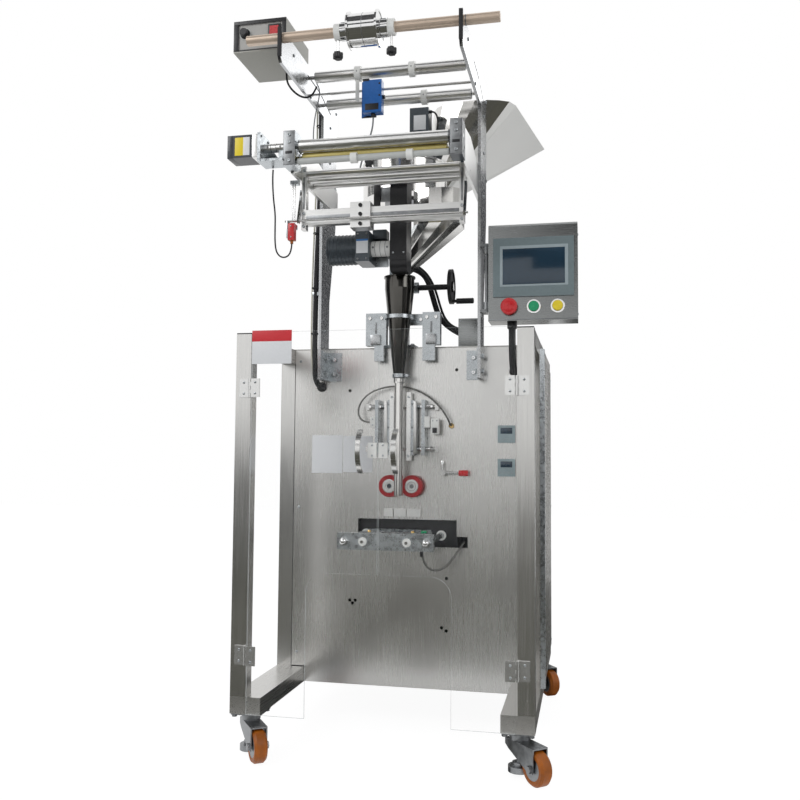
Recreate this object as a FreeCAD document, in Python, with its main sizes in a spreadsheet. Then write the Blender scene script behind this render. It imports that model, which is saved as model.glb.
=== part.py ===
"""Vertical form-fill-seal packaging machine for small sachets, free standing on four castors.

The film comes off a reel shaft at the top, runs over guide rollers and a driven feed roller, is
folded round a filling tube, sealed lengthwise, drawn down by two rollers and sealed across by a
pair of jaws. Product falls from a hopper through a metering drum and a chute into the funnel.

Millimetres. +Z is up and the operator stands on the -Y side. The origin is on the floor under the
middle of the machine's outer box. Inside this file places are written from the frame: x = 0 is the
middle of the frame, y = 0 the front face of its posts, z = 0 the floor; centre_x and centre_y shift
them all to the origin.
"""
import FreeCAD, Part
import math
import os
import Sketcher
from FreeCAD import Placement, Rotation, Vector

doc = FreeCAD.newDocument("PackagingMachine")

# Driving dimensions, in millimetres and degrees

SIZES = {
    # welded frame of square and flat tube
    "frame_width": 750.0,
    "frame_depth": 870.0,
    "frame_top": 1054.0,
    "rail_base": 108.0,
    "post": 40.0,
    "rail_width": 80.0,
    "rail_height": 42.0,
    "panel_front": 340.0,
    "panel_sheet": 3.0,
    "cover_sheet": 2.0,
    "panel_gap": 2.0,
    # openings and holes of the front panel
    "slot_half": 141.0,
    "slot_low": 496.0,
    "slot_high": 571.0,
    "cable_cut_reach": 31.0,
    "cable_cut_height": 30.0,
    "vent_pitch": 21.0,
    "vent_width": 14.0,
    "vent_height": 5.0,
    "vent_y": 590.0,
    "vent_top": 915.0,
    "side_cover_front": 203.0,
    "side_grip_y": 222.0,
    "side_grip_width": 34.0,
    "side_grip_reach": 12.0,
    "side_grip_low": 162.0,
    "side_grip_high": 1028.0,
    # castors with levelling pads
    "castor_front_y": 42.0,
    "castor_rear_y": 825.0,
    "castor_trail": 70.0,
    "wheel_radius": 40.0,
    "wheel_width": 32.0,
    "hub_radius": 26.0,
    "axle_radius": 5.0,
    "fork_sheet": 3.0,
    "fork_side_gap": 2.0,
    "fork_head_radius": 27.0,
    "castor_plate": 76.0,
    "castor_plate_sheet": 4.0,
    "bolt_head_radius": 7.0,
    "bolt_head_height": 5.0,
    "pad_radius": 26.0,
    "pad_height": 14.0,
    "pad_clearance": 12.0,
    "stem_radius": 6.0,
    # transparent doors
    "door_front": 8.0,
    "door_sheet": 5.0,
    "door_low": 110.0,
    "door_high": 1057.0,
    "door_outer": 330.0,
    "door_split": 1.5,
    "arch_half": 180.0,
    "arch_high": 461.0,
    "arch_round": 50.0,
    "hinge_height": 47.0,
    "hinge_low_z": 252.0,
    "hinge_high_z": 916.0,
    "hinge_x": 335.0,
    "hinge_y": 6.0,
    "knuckle_radius": 4.0,
    "hinge_pin_radius": 2.0,
    "leaf_sheet": 3.0,
    "handle_x": 44.0,
    "handle_low": 704.0,
    "handle_high": 813.0,
    "handle_reach": 34.0,
    "handle_sheet": 3.0,
    "handle_width": 12.0,
    "catch_z": 760.0,
    # side plates that carry the film reel and the rollers
    "film_x": -13.0,
    "arm_inner": 221.0,
    "arm_sheet": 8.0,
    "arm_tip_y": -98.0,
    "arm_depth": 86.0,
    "shaft_to_top": 19.0,
    "arm_rear_y": 392.0,
    "leg_front_y": 262.0,
    "leg_foot_z": 960.0,
    "leg_bend_high": 1420.0,
    "leg_bend_low": 1190.0,
    "bracket_leg": 40.0,
    "bracket_sheet": 4.0,
    "bracket_half_height": 41.0,
    "bracket_z": 1002.0,
    # reel shaft and chuck
    "shaft_y": -78.0,
    "shaft_z": 1781.0,
    "shaft_radius": 12.5,
    "shaft_half": 316.0,
    "core_seat_radius": 39.0,
    "core_seat_length": 66.0,
    "core_flange_radius": 44.0,
    "core_flange": 4.0,
    "chuck_x": -26.0,
    "chuck_hub_radius": 22.0,
    "chuck_hub": 22.0,
    "collar_radius": 20.0,
    "collar": 16.0,
    "knob_radius": 11.0,
    "knob_height": 20.0,
    "knob_stem": 28.0,
    # rollers between the side plates
    "upper_roller_radius": 15.0,
    "upper_roller_half": 205.0,
    "upper_front_y": 136.0,
    "upper_front_drop": 28.0,
    "upper_rear_y": 250.0,
    "upper_rear_drop": 58.0,
    "spindle_radius": 5.0,
    "ring_radius": 20.0,
    "ring_width": 16.0,
    "thin_rod_radius": 3.5,
    "thin_rod_y": 150.0,
    "thin_rod_drop": 70.0,
    # feed unit below them
    "cheek_sheet": 8.0,
    "cheek_front_y": -10.0,
    "cheek_rear_y": 385.0,
    "cheek_low": 1460.0,
    "cheek_high": 1560.0,
    "block_front_y": -60.0,
    "block_inner": 194.0,
    "block_width": 30.0,
    "block_low": 1464.0,
    "block_high": 1552.0,
    "feed_roller_radius": 15.5,
    "feed_y": -36.0,
    "feed_z": 1518.0,
    "nip_radius": 13.0,
    "nip_back": 13.3,
    "guide_radius": 8.0,
    "guide_y": -44.0,
    "guide_z": 1477.0,
    "journal_radius": 5.0,
    "idler_radius": 8.5,
    "idler_journal": 3.0,
    "idler_front_y": 65.0,
    "idler_step_y": 48.0,
    "idler_z": 1480.0,
    "bar_y": 55.0,
    "bar_depth": 20.0,
    "bar_width": 12.0,
    "bar_low": 1331.0,
    "bar_high": 1498.0,
    "profile_low": 1343.0,
    "profile_height": 40.0,
    "dancer_pivot_z": 1430.0,
    "dancer_pivot_y": 64.0,
    "dancer_rod_y": 40.0,
    "dancer_rod_z": 1351.0,
    "dancer_rod_radius": 3.0,
    "dancer_left": -265.0,
    "dancer_right": 211.0,
    "dancer_sheet": 5.0,
    # running and seating clearances
    "running": 0.05,
    "seat": 0.3,
    # feed motor on the left
    "motor_left": -383.0,
    "motor_square": 58.0,
    "motor_length": 80.0,
    "motor_flange": 8.0,
    "coupling_radius": 11.0,
    # film sensors
    "eye_x": -49.0,
    "eye_width": 50.0,
    "eye_height": 87.0,
    "eye_depth": 26.0,
    "eye_back_y": 118.0,
    "eye_drop": 84.0,
    "switch_x": -246.0,
    "switch_width": 17.0,
    "switch_height": 44.0,
    # small control case on the left plate
    "case_width": 140.0,
    "case_front_y": -40.0,
    "case_depth": 180.0,
    "case_drop": 24.0,
    "case_height": 79.0,
    "case_knob_radius": 10.0,
    # metering unit
    "drum_x": -30.0,
    "drum_y": 430.0,
    "drum_radius": 125.0,
    "drum_low": 1500.0,
    "drum_high": 1606.0,
    "drum_wall": 2.0,
    "chute_left": 18.0,
    "chute_right": 154.0,
    "chute_front_y": 294.0,
    "chute_rear_y": 385.0,
    "chute_waist_z": 1400.0,
    "chute_outlet_half": 20.0,
    "chute_wall": 2.0,
    "gear_square": 82.0,
    "gear_y": 196.0,
    "gear_z": 1307.0,
    "gear_left": -190.0,
    "gear_length": 120.0,
    "stirrer_left": -6.0,
    "stirrer_right": 50.0,
    "stirrer_front_y": 372.0,
    "stirrer_top": 1765.0,
    "guard_left": -17.0,
    "guard_right": 29.0,
    "guard_front_y": 172.0,
    "guard_low": 1240.0,
    "guard_high": 1499.0,
    "guard_depth": 64.0,
    "column": 50.0,
    "column_x": -32.0,
    "column_y": 372.0,
    "crank_x": 114.0,
    "crank_z": 1232.0,
    "crank_radius": 50.0,
    "crank_throw": 42.0,
    "top_box_x": 169.0,
    "top_box_width": 63.0,
    "top_box_height": 86.0,
    # hopper
    "hopper_mouth_z": 1785.0,
    "hopper_outlet_z": 1512.0,
    "hopper_outlet_x": 33.0,
    "hopper_outlet_y": 500.0,
    "hopper_outlet_radius": 42.0,
    "hopper_wall": 2.0,
    # funnel and filling tube
    "tube_y": 283.0,
    "funnel_rim_z": 1246.0,
    "funnel_radius": 41.0,
    "funnel_neck_z": 1212.0,
    "funnel_foot_z": 962.0,
    "tube_radius": 12.0,
    "tube_wall": 1.5,
    "tube_end_z": 639.0,
    "holder_z": 1132.0,
    "clamp_low": 1058.0,
    "clamp_high": 1150.0,
    # lengthwise sealer
    "seal_open": 18.0,
    "seal_bar": 12.0,
    "seal_back_y": 325.0,
    "seal_depth": 24.0,
    "seal_low": 735.0,
    "seal_high": 925.0,
    "seal_travel": 17.0,
    "seal_rod_radius": 5.0,
    "seal_rod_y": 331.5,
    # draw rollers
    "draw_half": 32.0,
    "draw_z": 664.0,
    "draw_radius": 30.5,
    "draw_width": 24.0,
    "draw_hub_radius": 17.0,
    "draw_shaft_radius": 7.0,
    # crosswise sealing jaws
    "jaw_z": 527.0,
    "jaw_half": 127.0,
    "jaw_front_y": 124.0,
    "jaw_bar": 16.0,
    "jaw_bar_height": 43.0,
    "jaw_rod_half": 108.0,
    "jaw_rod_radius": 8.0,
    "jaw_block_y": 200.0,
    "jaw_block_depth": 32.0,
    "jaw_block_height": 36.0,
    "jaw_block_half": 88.0,
    "jaw_bolt_half": 58.0,
    "rear_jaw_y": 302.0,
    "rear_jaw_depth": 24.0,
    "conduit_x": 126.0,
    "conduit_z": 832.0,
    "conduit_radius": 2.5,
    # lever of the draw rollers
    "lever_x": 104.0,
    "lever_z": 702.0,
    "lever_length": 72.0,
    # three plastic rests over the slot of the jaws
    "rest_reach": 51.0,
    "rest_left": 26.0,
    "rest_middle": 34.0,
    "rest_right": 38.0,
    "rest_gap": 3.0,
    "rest_depth": 10.0,
    "rest_height": 21.0,
    "rest_clearance": 8.0,
    # drive inside the cabinet
    "drive_case_half": 90.0,
    "drive_case_depth": 70.0,
    "drive_case_below": 50.0,
    "drive_case_above": 60.0,
    "drive_stand_half": 60.0,
    "drive_stand_front": 10.0,
    "drive_stand_rear": 60.0,
    "drive_stand_drop": 60.0,
    "drive_link_half": 30.0,
    "drive_link_depth": 20.0,
    "drive_motor_left": 150.0,
    "drive_motor_right": 60.0,
    "drive_motor_radius": 60.0,
    "drive_motor_back": 160.0,
    "drive_motor_rise": 90.0,
    "drive_motor_inset": 20.0,
    "drive_base_half": 50.0,
    "drive_base_height": 36.0,
    # controllers in the panel
    "meter_square": 48.0,
    "meter_to_edge": 96.0,
    "meter_high_z": 810.0,
    "meter_low_z": 718.0,
    # operator's control box
    "box_left": 245.0,
    "box_width": 230.0,
    "box_front_y": 190.0,
    "box_depth": 76.0,
    "box_low": 1101.0,
    "box_height": 255.0,
    "box_chamfer": 22.0,
    "box_hinge_x": 233.0,
    "box_hinge_y": 256.0,
    "box_pin_radius": 5.0,
    "stop_radius": 21.5,
    "push_radius": 13.5,
    "button_z": 1137.0,
}

sheet = doc.addObject("Spreadsheet::Sheet", "Sizes")


class Length:
    """A size that carries its value and the sheet formula that gives it."""

    def __init__(self, value, text):
        self.value = float(value)
        self.text = text

    def __float__(self):
        return self.value

    def __neg__(self):
        return Length(-self.value, "(-" + self.text + ")")

    def __add__(self, other):
        return join(self, "+", other, self.value + float(other))

    def __radd__(self, other):
        return join(other, "+", self, float(other) + self.value)

    def __sub__(self, other):
        return join(self, "-", other, self.value - float(other))

    def __rsub__(self, other):
        return join(other, "-", self, float(other) - self.value)

    def __mul__(self, other):
        return join(self, "*", other, self.value * float(other))

    def __rmul__(self, other):
        return join(other, "*", self, float(other) * self.value)

    def __truediv__(self, other):
        return join(self, "/", other, self.value / float(other))

    def __lt__(self, other):
        return self.value < float(other)

    def __gt__(self, other):
        return self.value > float(other)


def formula(length):
    """The sheet formula of a length, or a plain number as text."""
    if isinstance(length, Length):
        return length.text
    return "(%.9g)" % length


def join(left, sign, right, value):
    return Length(value, "(" + formula(left) + " " + sign + " " + formula(right) + ")")


class Sizes:
    """The named sizes of the sheet, read as s.name."""


s = Sizes()
row = 0


def store(name, content, value):
    """Write one cell of the sheet and make its alias readable as s.name."""
    global row
    row += 1
    cell = "A%d" % row
    sheet.set(cell, content)
    sheet.setAlias(cell, name)
    setattr(s, name, Length(value, "Sizes." + name))


def derive(name, length):
    """Keep a size that follows from others in a cell of its own."""
    store(name, "=" + length.text.replace("Sizes.", ""), length.value)


for size_name, size_value in SIZES.items():
    store(size_name, "%.9g" % size_value, size_value)

# Sizes that follow from the driving ones

derive("frame_half", s.frame_width / 2)
derive("meter_x", s.frame_half - s.meter_to_edge)
derive("arm_high", s.shaft_z + s.shaft_to_top)
derive("arm_low", s.arm_high - s.arm_depth)
derive("upper_front_z", s.arm_high - s.upper_front_drop)
derive("upper_rear_z", s.arm_high - s.upper_rear_drop)
derive("thin_rod_z", s.arm_high - s.thin_rod_drop)
derive("eye_low", s.thin_rod_z - s.eye_drop)
derive("case_low", s.arm_high - s.case_drop)
derive("box_right", s.box_left + s.box_width)
derive("centre_x", (s.motor_left + s.box_right) / 2)
derive("rear_edge", s.frame_depth + s.cover_sheet)
derive("front_edge", s.shaft_y - s.core_flange_radius)
derive("centre_y", (s.front_edge + s.rear_edge) / 2)
derive("post_inner", s.frame_half - s.post)
derive("rail_inner", s.frame_half - s.rail_width)
derive("rail_top", s.rail_base + s.rail_height)
derive("panel_back", s.panel_front + s.panel_sheet)
derive("left_plate", s.film_x - s.arm_inner)
derive("right_plate", s.film_x + s.arm_inner)
derive("left_cheek", s.left_plate + s.cheek_sheet)
derive("right_cheek", s.right_plate - s.cheek_sheet)
derive("block_rear_y", s.cheek_front_y)
derive("left_block", s.film_x - s.block_inner - s.block_width)
derive("nip_y", s.feed_y + s.nip_back)
derive("castor_x", s.frame_half - s.rail_width / 2)
doc.recompute()

nodes = {}
shift = [s.centre_x, s.centre_y]

TURN = {
    "X": Rotation(Vector(0, 1, 0), 90),
    "Y": Rotation(Vector(1, 0, 0), -90),
    "Z": Rotation(),
}


def bind(thing, prop, length):
    """Tie a property to the sheet's formula."""
    thing.setExpression(prop, formula(length))


def place(thing, x, y, z, turn=None):
    """Put a solid at a place written from the frame."""
    thing.Placement = Placement(Vector(0, 0, 0), turn or Rotation())
    bind(thing, "Placement.Base.x", x - shift[0])
    bind(thing, "Placement.Base.y", y - shift[1])
    bind(thing, "Placement.Base.z", z)
    return thing


def box(x, y, z):
    """A block between two values on each axis."""
    block = doc.addObject("Part::Box", "Block")
    bind(block, "Length", x[1] - x[0])
    bind(block, "Width", y[1] - y[0])
    bind(block, "Height", z[1] - z[0])
    return place(block, x[0], y[0], z[0])


def along(axis, start, centre):
    """The three coordinates of a point at start on an axis line through centre."""
    if axis == "X":
        return start, centre[0], centre[1]
    if axis == "Y":
        return centre[0], start, centre[1]
    return centre[0], centre[1], start


def rod(axis, span, centre, radius):
    """A round bar along an axis; centre holds the other two coordinates."""
    bar = doc.addObject("Part::Cylinder", "Bar")
    bind(bar, "Radius", radius)
    bind(bar, "Height", span[1] - span[0])
    return place(bar, *along(axis, span[0], centre), turn=TURN[axis])


def hexagon(axis, span, centre, radius):
    """A hexagonal bolt head or nut along an axis."""
    head = doc.addObject("Part::Prism", "Nut")
    bind(head, "Circumradius", radius)
    bind(head, "Height", span[1] - span[0])
    return place(head, *along(axis, span[0], centre), turn=TURN[axis])


def cut(base, *tools):
    result = doc.addObject("Part::Cut", "Cut")
    result.Base = base
    result.Tool = tools[0] if len(tools) == 1 else fuse(*tools)
    return result


def fuse(*pieces):
    result = doc.addObject("Part::MultiFuse", "Joined")
    result.Shapes = list(pieces)
    result.Refine = True
    return result


def group(*pieces):
    """Separate solids that share one node."""
    result = doc.addObject("Part::Compound", "Set")
    result.Links = list(pieces)
    return result


def node(name, *pieces):
    """Name a sub-part; several pieces stay separate solids in it."""
    thing = pieces[0] if len(pieces) == 1 else group(*pieces)
    thing.Label = name
    nodes[name] = thing
    return thing


def origin_plane(body, role):
    return [feature for feature in body.Origin.OriginFeatures if feature.Role == role][0]


def outline(body, plane, points, holes=()):
    """A sketch of straight edges whose corners are all dimensioned from the sheet."""
    sketch = body.newObject("Sketcher::SketchObject", "Outline")
    sketch.AttachmentSupport = [(origin_plane(body, plane), "")]
    sketch.MapMode = "FlatFace"
    count = len(points)
    corners = [Vector(float(u), float(v), 0) for u, v in points]
    edges = [Part.LineSegment(corners[i], corners[(i + 1) % count]) for i in range(count)]
    circles = [Part.Circle(Vector(float(u), float(v), 0), Vector(0, 0, 1), float(r)) for u, v, r in holes]
    sketch.addGeometry(edges + circles, False)
    ties = [Sketcher.Constraint("Coincident", i, 2, (i + 1) % count, 1) for i in range(count)]
    texts = [None] * count
    for i, (u, v) in enumerate(points):
        ties.append(Sketcher.Constraint("DistanceX", -1, 1, i, 1, float(u)))
        ties.append(Sketcher.Constraint("DistanceY", -1, 1, i, 1, float(v)))
        texts += [formula(u), formula(v)]
    for i, (u, v, r) in enumerate(holes):
        ties.append(Sketcher.Constraint("DistanceX", -1, 1, count + i, 3, float(u)))
        ties.append(Sketcher.Constraint("DistanceY", -1, 1, count + i, 3, float(v)))
        ties.append(Sketcher.Constraint("Radius", count + i, float(r)))
        texts += [formula(u), formula(v), formula(r)]
    sketch.addConstraint(ties)
    for index, text in enumerate(texts):
        if text is not None and "Sizes" in text:
            sketch.setExpression("Constraints[%d]" % index, text)
    return sketch


def round_corners(body, pad, axis, corners, radius):
    """Fillet the edges of a pad that run along the axis through the given corners."""
    doc.recompute()
    names = []
    for number, edge in enumerate(pad.Shape.Edges, 1):
        ends = [vertex.Point for vertex in edge.Vertexes]
        if len(ends) != 2:
            continue
        for u, v in corners:
            flat = {"X": [(p.y, p.z) for p in ends], "Y": [(p.x, p.z) for p in ends],
                    "Z": [(p.x, p.y) for p in ends]}[axis]
            if all(math.hypot(a - float(u), b - float(v)) < 0.01 for a, b in flat):
                names.append("Edge%d" % number)
    if not names:
        raise RuntimeError("no corner found to round")
    fillet = body.newObject("PartDesign::Fillet", "Rounding")
    fillet.Base = (pad, names)
    bind(fillet, "Radius", radius)
    return fillet


def plate(axis, span, points, holes=(), rounds=(), radius=None):
    """A plate cut to an outline and standing across an axis, from span[0] to span[1]."""
    body = doc.addObject("PartDesign::Body", "Plate")
    plane = {"X": "YZ_Plane", "Y": "XZ_Plane", "Z": "XY_Plane"}[axis]
    sketch = outline(body, plane, points, holes)
    pad = body.newObject("PartDesign::Pad", "Pad")
    pad.Profile = sketch
    bind(pad, "Length", span[1] - span[0])
    sketch.Visibility = False
    if rounds:
        round_corners(body, pad, axis, rounds, radius)
    if axis == "X":
        return place(body, span[0], 0 * s.post, 0 * s.post)
    if axis == "Y":
        return place(body, 0 * s.post, span[1], 0 * s.post)
    return place(body, 0 * s.post, 0 * s.post, span[0])


def turned(axis, start, centre, profile):
    """A turned piece: profile holds (radius, distance from start) corners."""
    body = doc.addObject("PartDesign::Body", "Turned")
    sketch = outline(body, "XZ_Plane", profile)
    spin = body.newObject("PartDesign::Revolution", "Turning")
    spin.Profile = sketch
    spin.ReferenceAxis = (sketch, ["V_Axis"])
    spin.Angle = 360
    sketch.Visibility = False
    return place(body, *along(axis, start, centre), turn=TURN[axis])


def feature(shape):
    """A solid made by geometry functions from the sheet's values, written from the frame."""
    thing = doc.addObject("Part::Feature", "Formed")
    thing.Shape = shape
    thing.Placement = Placement(Vector(-float(shift[0]), -float(shift[1]), 0), Rotation())
    return thing


def both_sides(make):
    """The same piece on the left (-1) and on the right (+1)."""
    return [make(-1), make(1)]


def span_of(side, near, far):
    """A span between two distances from the middle, on the side asked for."""
    return (near, far) if side > 0 else (-far, -near)


def from_film(side, near, far):
    """A span measured from the film's centre line."""
    if side > 0:
        return (s.film_x + near, s.film_x + far)
    return (s.film_x - far, s.film_x - near)


# Welded frame: flat side rails under the posts, square rails at the top


def main_frame():
    pieces = []
    rail_z = (s.rail_base, s.rail_top)
    top_z = (s.frame_top - s.post, s.frame_top)
    rear_y = (s.frame_depth - s.post, s.frame_depth)
    cabinet_y = (s.panel_front, s.panel_front + s.post)
    for side in (-1, 1):
        post_x = span_of(side, s.post_inner, s.frame_half)
        pieces.append(box(span_of(side, s.rail_inner, s.frame_half), (0 * s.post, s.frame_depth), rail_z))
        for post_y in ((0 * s.post, s.post), cabinet_y, rear_y):
            pieces.append(box(post_x, post_y, (s.rail_top, s.frame_top)))
        pieces.append(box(post_x, (s.post, s.panel_front), top_z))
        pieces.append(box(post_x, (s.panel_front + s.post, s.frame_depth - s.post), top_z))
    for cross_y in ((s.panel_back, s.panel_front + s.post), rear_y):
        pieces.append(box((-s.rail_inner, s.rail_inner), cross_y, rail_z))
        pieces.append(box((-s.post_inner, s.post_inner), cross_y, top_z))
    return node("main_frame", *pieces)


def front_panel():
    """Sheet between the cabinet posts, notched round the rails, with the jaw slot."""
    low = s.rail_base + s.panel_gap
    side = s.post_inner - s.panel_gap
    notch = s.rail_inner - s.panel_gap
    notch_top = s.rail_top + s.panel_gap
    points = [(-notch, low), (notch, low), (notch, notch_top), (side, notch_top),
              (side, s.frame_top - s.panel_gap), (-side, s.frame_top - s.panel_gap),
              (-side, notch_top), (-notch, notch_top)]
    holes = [(s.film_x + side_x * s.draw_half, s.draw_z, s.draw_shaft_radius + s.running) for side_x in (-1, 1)]
    holes += [(s.lever_x, s.lever_z, s.stem_radius + s.running), (s.conduit_x, s.conduit_z + 1, s.conduit_radius + s.seat)]
    small = [(-169, 934), (140, 990), (-163, 341), (-147, 341), (-155, 333), (100, 276), (113, 268), (113, 411)]
    holes += [(x, z, s.thin_rod_radius + 1) for x, z in small]
    sheet_plate = plate("Y", (s.panel_front, s.panel_back), points, holes)
    slot = box((-s.slot_half, s.slot_half), (s.panel_front - 1, s.panel_back + 1), (s.slot_low, s.slot_high))
    cable_cut = box((s.slot_half - 1, s.slot_half + s.cable_cut_reach), (s.panel_front - 1, s.panel_back + 1),
                    (s.slot_low, s.slot_low + s.cable_cut_height))
    windows = [box((s.meter_x - s.meter_square / 2 + 1.5, s.meter_x + s.meter_square / 2 - 1.5),
                   (s.panel_front - 1, s.panel_back + 1),
                   (z - s.meter_square / 2 + 1.5, z + s.meter_square / 2 - 1.5))
               for z in (s.meter_high_z, s.meter_low_z)]
    return node("front_panel", cut(sheet_plate, slot, cable_cut, *windows))


def cabinet_covers():
    """Side covers with vent slots, back cover, floor and top of the cabinet, and the side grip."""
    cover_y = (s.panel_front + s.panel_gap, s.frame_depth)
    cover_z = (s.rail_base + s.post * 0.8, s.frame_top - s.post * 0.65)
    pieces = []
    for side in (-1, 1):
        outer = span_of(side, s.frame_half, s.frame_half + s.cover_sheet)
        vents = []
        for index in range(28):
            z = s.vent_top - index * s.vent_pitch
            reach = span_of(side, s.frame_half - 1, s.frame_half + s.cover_sheet + 1)
            vents.append(box(reach, (s.vent_y - s.vent_width / 2, s.vent_y + s.vent_width / 2),
                             (z - s.vent_height / 2, z + s.vent_height / 2)))
        reach_y = (s.side_cover_front, s.frame_depth) if side > 0 else cover_y
        pieces.append(cut(box(outer, reach_y, cover_z), *vents))
    pieces.append(box((-s.frame_half, s.frame_half), (s.frame_depth, s.frame_depth + s.cover_sheet), cover_z))
    pieces.append(box((-s.rail_inner, s.rail_inner), (s.panel_front + s.post, s.frame_depth - s.post),
                      (s.rail_base, s.rail_base + s.cover_sheet)))
    pieces.append(box((-s.frame_half, s.frame_half), (s.panel_front, s.frame_depth),
                      (s.frame_top, s.frame_top + s.cover_sheet)))
    face = s.frame_half + s.cover_sheet
    half = s.side_grip_width / 2
    grip = [(face, s.side_grip_y - half), (face + s.side_grip_reach, s.side_grip_y - half + 5),
            (face + s.side_grip_reach, s.side_grip_y + half - 5), (face, s.side_grip_y + half)]
    pieces.append(plate("Z", (s.side_grip_low, s.side_grip_high), grip))
    return node("cabinet_covers", *pieces)


# Hardware bolted to the frame: castor plates and the fixed hinge leaves


def castor_places():
    """Side, y place, and swivel angle of each castor as it stands in the photograph."""
    return [("front_left", -1, s.castor_front_y, 36), ("front_right", 1, s.castor_front_y, 40),
            ("rear_left", -1, s.castor_rear_y, 30), ("rear_right", 1, s.castor_rear_y, 34)]


def castor_plate(side, y):
    x = side * s.castor_x
    half = s.castor_plate / 2
    low = s.rail_base - s.castor_plate_sheet
    pieces = [box((x - half, x + half), (y - half, y + half), (low, s.rail_base))]
    offset = half - s.bolt_head_radius
    for dx in (-1, 1):
        for dy in (-1, 1):
            pieces.append(hexagon("Z", (low - s.bolt_head_height, low), (x + dx * offset, y + dy * offset),
                                  s.bolt_head_radius))
    return fuse(*pieces)


def hinge_sections(z):
    """The heights of the five knuckle sections of a hinge, bottom to top."""
    fifth = s.hinge_height / 5
    low = z - s.hinge_height / 2
    return [(low + i * fifth + (s.seat if i else 0 * s.seat), low + (i + 1) * fifth) for i in range(5)]


def fixed_leaf(side, z):
    """Leaf screwed to the post: plate, two outer knuckles and the pin."""
    sections = hinge_sections(z)
    low, high = sections[0][0], sections[4][1]
    pieces = [box(span_of(side, s.hinge_x + s.knuckle_radius + 1, s.hinge_x + 29), (-s.leaf_sheet, 0 * s.post), (low, high))]
    centre = (side * s.hinge_x, -s.hinge_y)
    for index in (0, 2, 4):
        pieces.append(box(span_of(side, s.hinge_x, s.hinge_x + s.knuckle_radius + 1),
                          (-s.leaf_sheet, 0 * s.post), sections[index]))
        pieces.append(rod("Z", sections[index], centre, s.knuckle_radius))
    pieces.append(rod("Z", (low, high), centre, s.hinge_pin_radius))
    return fuse(*pieces)


def frame_fittings():
    pieces = [castor_plate(side, y) for name, side, y, angle in castor_places()]
    pieces += [fixed_leaf(side, z) for side in (-1, 1) for z in (s.hinge_low_z, s.hinge_high_z)]
    return node("frame_fittings", *pieces)


# Castors: each fork is made about its own swivel axis with the wheel trailing along +X


def castor(name, side, y, angle):
    turn = Rotation(Vector(0, 0, 1), angle - 90)
    inner = s.wheel_width / 2 + s.fork_side_gap
    web_low = s.wheel_radius * 2 + s.fork_side_gap * 2
    web = (web_low, web_low + s.fork_sheet)
    head_top = s.rail_base - s.castor_plate_sheet - s.seat
    axle_z = s.wheel_radius
    shift[0] = shift[1] = 0 * s.post
    cheek_points = [(-s.fork_head_radius, web[1]), (s.castor_trail + 12, web[1]),
                    (s.castor_trail + 12, axle_z + 14), (s.castor_trail + 9, axle_z - 9),
                    (s.castor_trail - 9, axle_z - 9), (-s.fork_head_radius + 12, web_low - 20),
                    (-s.fork_head_radius, web_low - 12)]
    pieces = [plate("Y", span, cheek_points) for span in
              ((inner, inner + s.fork_sheet), (-inner - s.fork_sheet, -inner))]
    pieces.append(box((-s.fork_head_radius, s.castor_trail + 12), (-inner, inner), web))
    pieces.append(rod("Z", (web[1], head_top), (0 * s.post, 0 * s.post), s.fork_head_radius - 4))
    pieces.append(rod("Z", (s.pad_clearance + s.pad_height, web_low), (0 * s.post, 0 * s.post), s.stem_radius))
    pieces.append(rod("Z", (s.pad_clearance, s.pad_clearance + s.pad_height), (0 * s.post, 0 * s.post), s.pad_radius))
    pieces.append(rod("Z", (s.pad_clearance + s.pad_height, s.pad_clearance + s.pad_height + 8),
                      (0 * s.post, 0 * s.post), s.pad_radius - 10))
    pieces.append(hexagon("Z", (web_low - 12, web_low), (0 * s.post, 0 * s.post), s.stem_radius + 6))
    pieces.append(rod("Y", (-inner, inner), (s.castor_trail, axle_z), s.axle_radius))
    for sign in (-1, 1):
        span = (inner + s.fork_sheet, inner + s.fork_sheet + 6)
        if sign < 0:
            span = (-span[1], -span[0])
        pieces.append(hexagon("Y", span, (s.castor_trail, axle_z), s.axle_radius + 4))
    fork = fuse(*pieces)
    bore = s.axle_radius + s.running
    half = s.wheel_width / 2
    profile = [(bore, -half + 1), (s.hub_radius, -half + 1), (s.hub_radius + 3, -half),
               (s.wheel_radius - 5, -half), (s.wheel_radius, -half + 6), (s.wheel_radius, half - 6),
               (s.wheel_radius - 5, half), (s.hub_radius + 3, half), (s.hub_radius, half - 1), (bore, half - 1)]
    wheel = turned("Y", 0 * s.post, (s.castor_trail, axle_z), profile)
    shift[0], shift[1] = s.centre_x, s.centre_y
    for label, piece in (("castor_fork_" + name, fork), ("castor_wheel_" + name, wheel)):
        holder = group(piece)
        place(holder, side * s.castor_x, y, 0 * s.post, turn=turn)
        node(label, holder)


# Transparent doors with an arch over the bag outlet


def bowed_grip(side):
    """Flat strip bent to an arc, with both ends on the door."""
    front = -float(s.door_front)
    sheet_edge = float(s.handle_sheet)
    low, high = float(s.handle_low), float(s.handle_high)
    reach = front - float(s.handle_reach)
    x = side * float(s.handle_x) - float(s.handle_width) / 2
    middle = (low + high) / 2
    outer = Part.Arc(Vector(x, front, low), Vector(x, reach, middle), Vector(x, front, high))
    inner = Part.Arc(Vector(x, front, high - 2 * sheet_edge), Vector(x, reach + sheet_edge, middle),
                     Vector(x, front, low + 2 * sheet_edge))
    ends = [Part.LineSegment(Vector(x, front, high), Vector(x, front, high - 2 * sheet_edge)),
            Part.LineSegment(Vector(x, front, low + 2 * sheet_edge), Vector(x, front, low))]
    wire = Part.Wire([outer.toShape(), ends[0].toShape(), inner.toShape(), ends[1].toShape()])
    return Part.Face(wire).extrude(Vector(float(s.handle_width), 0, 0))


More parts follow.
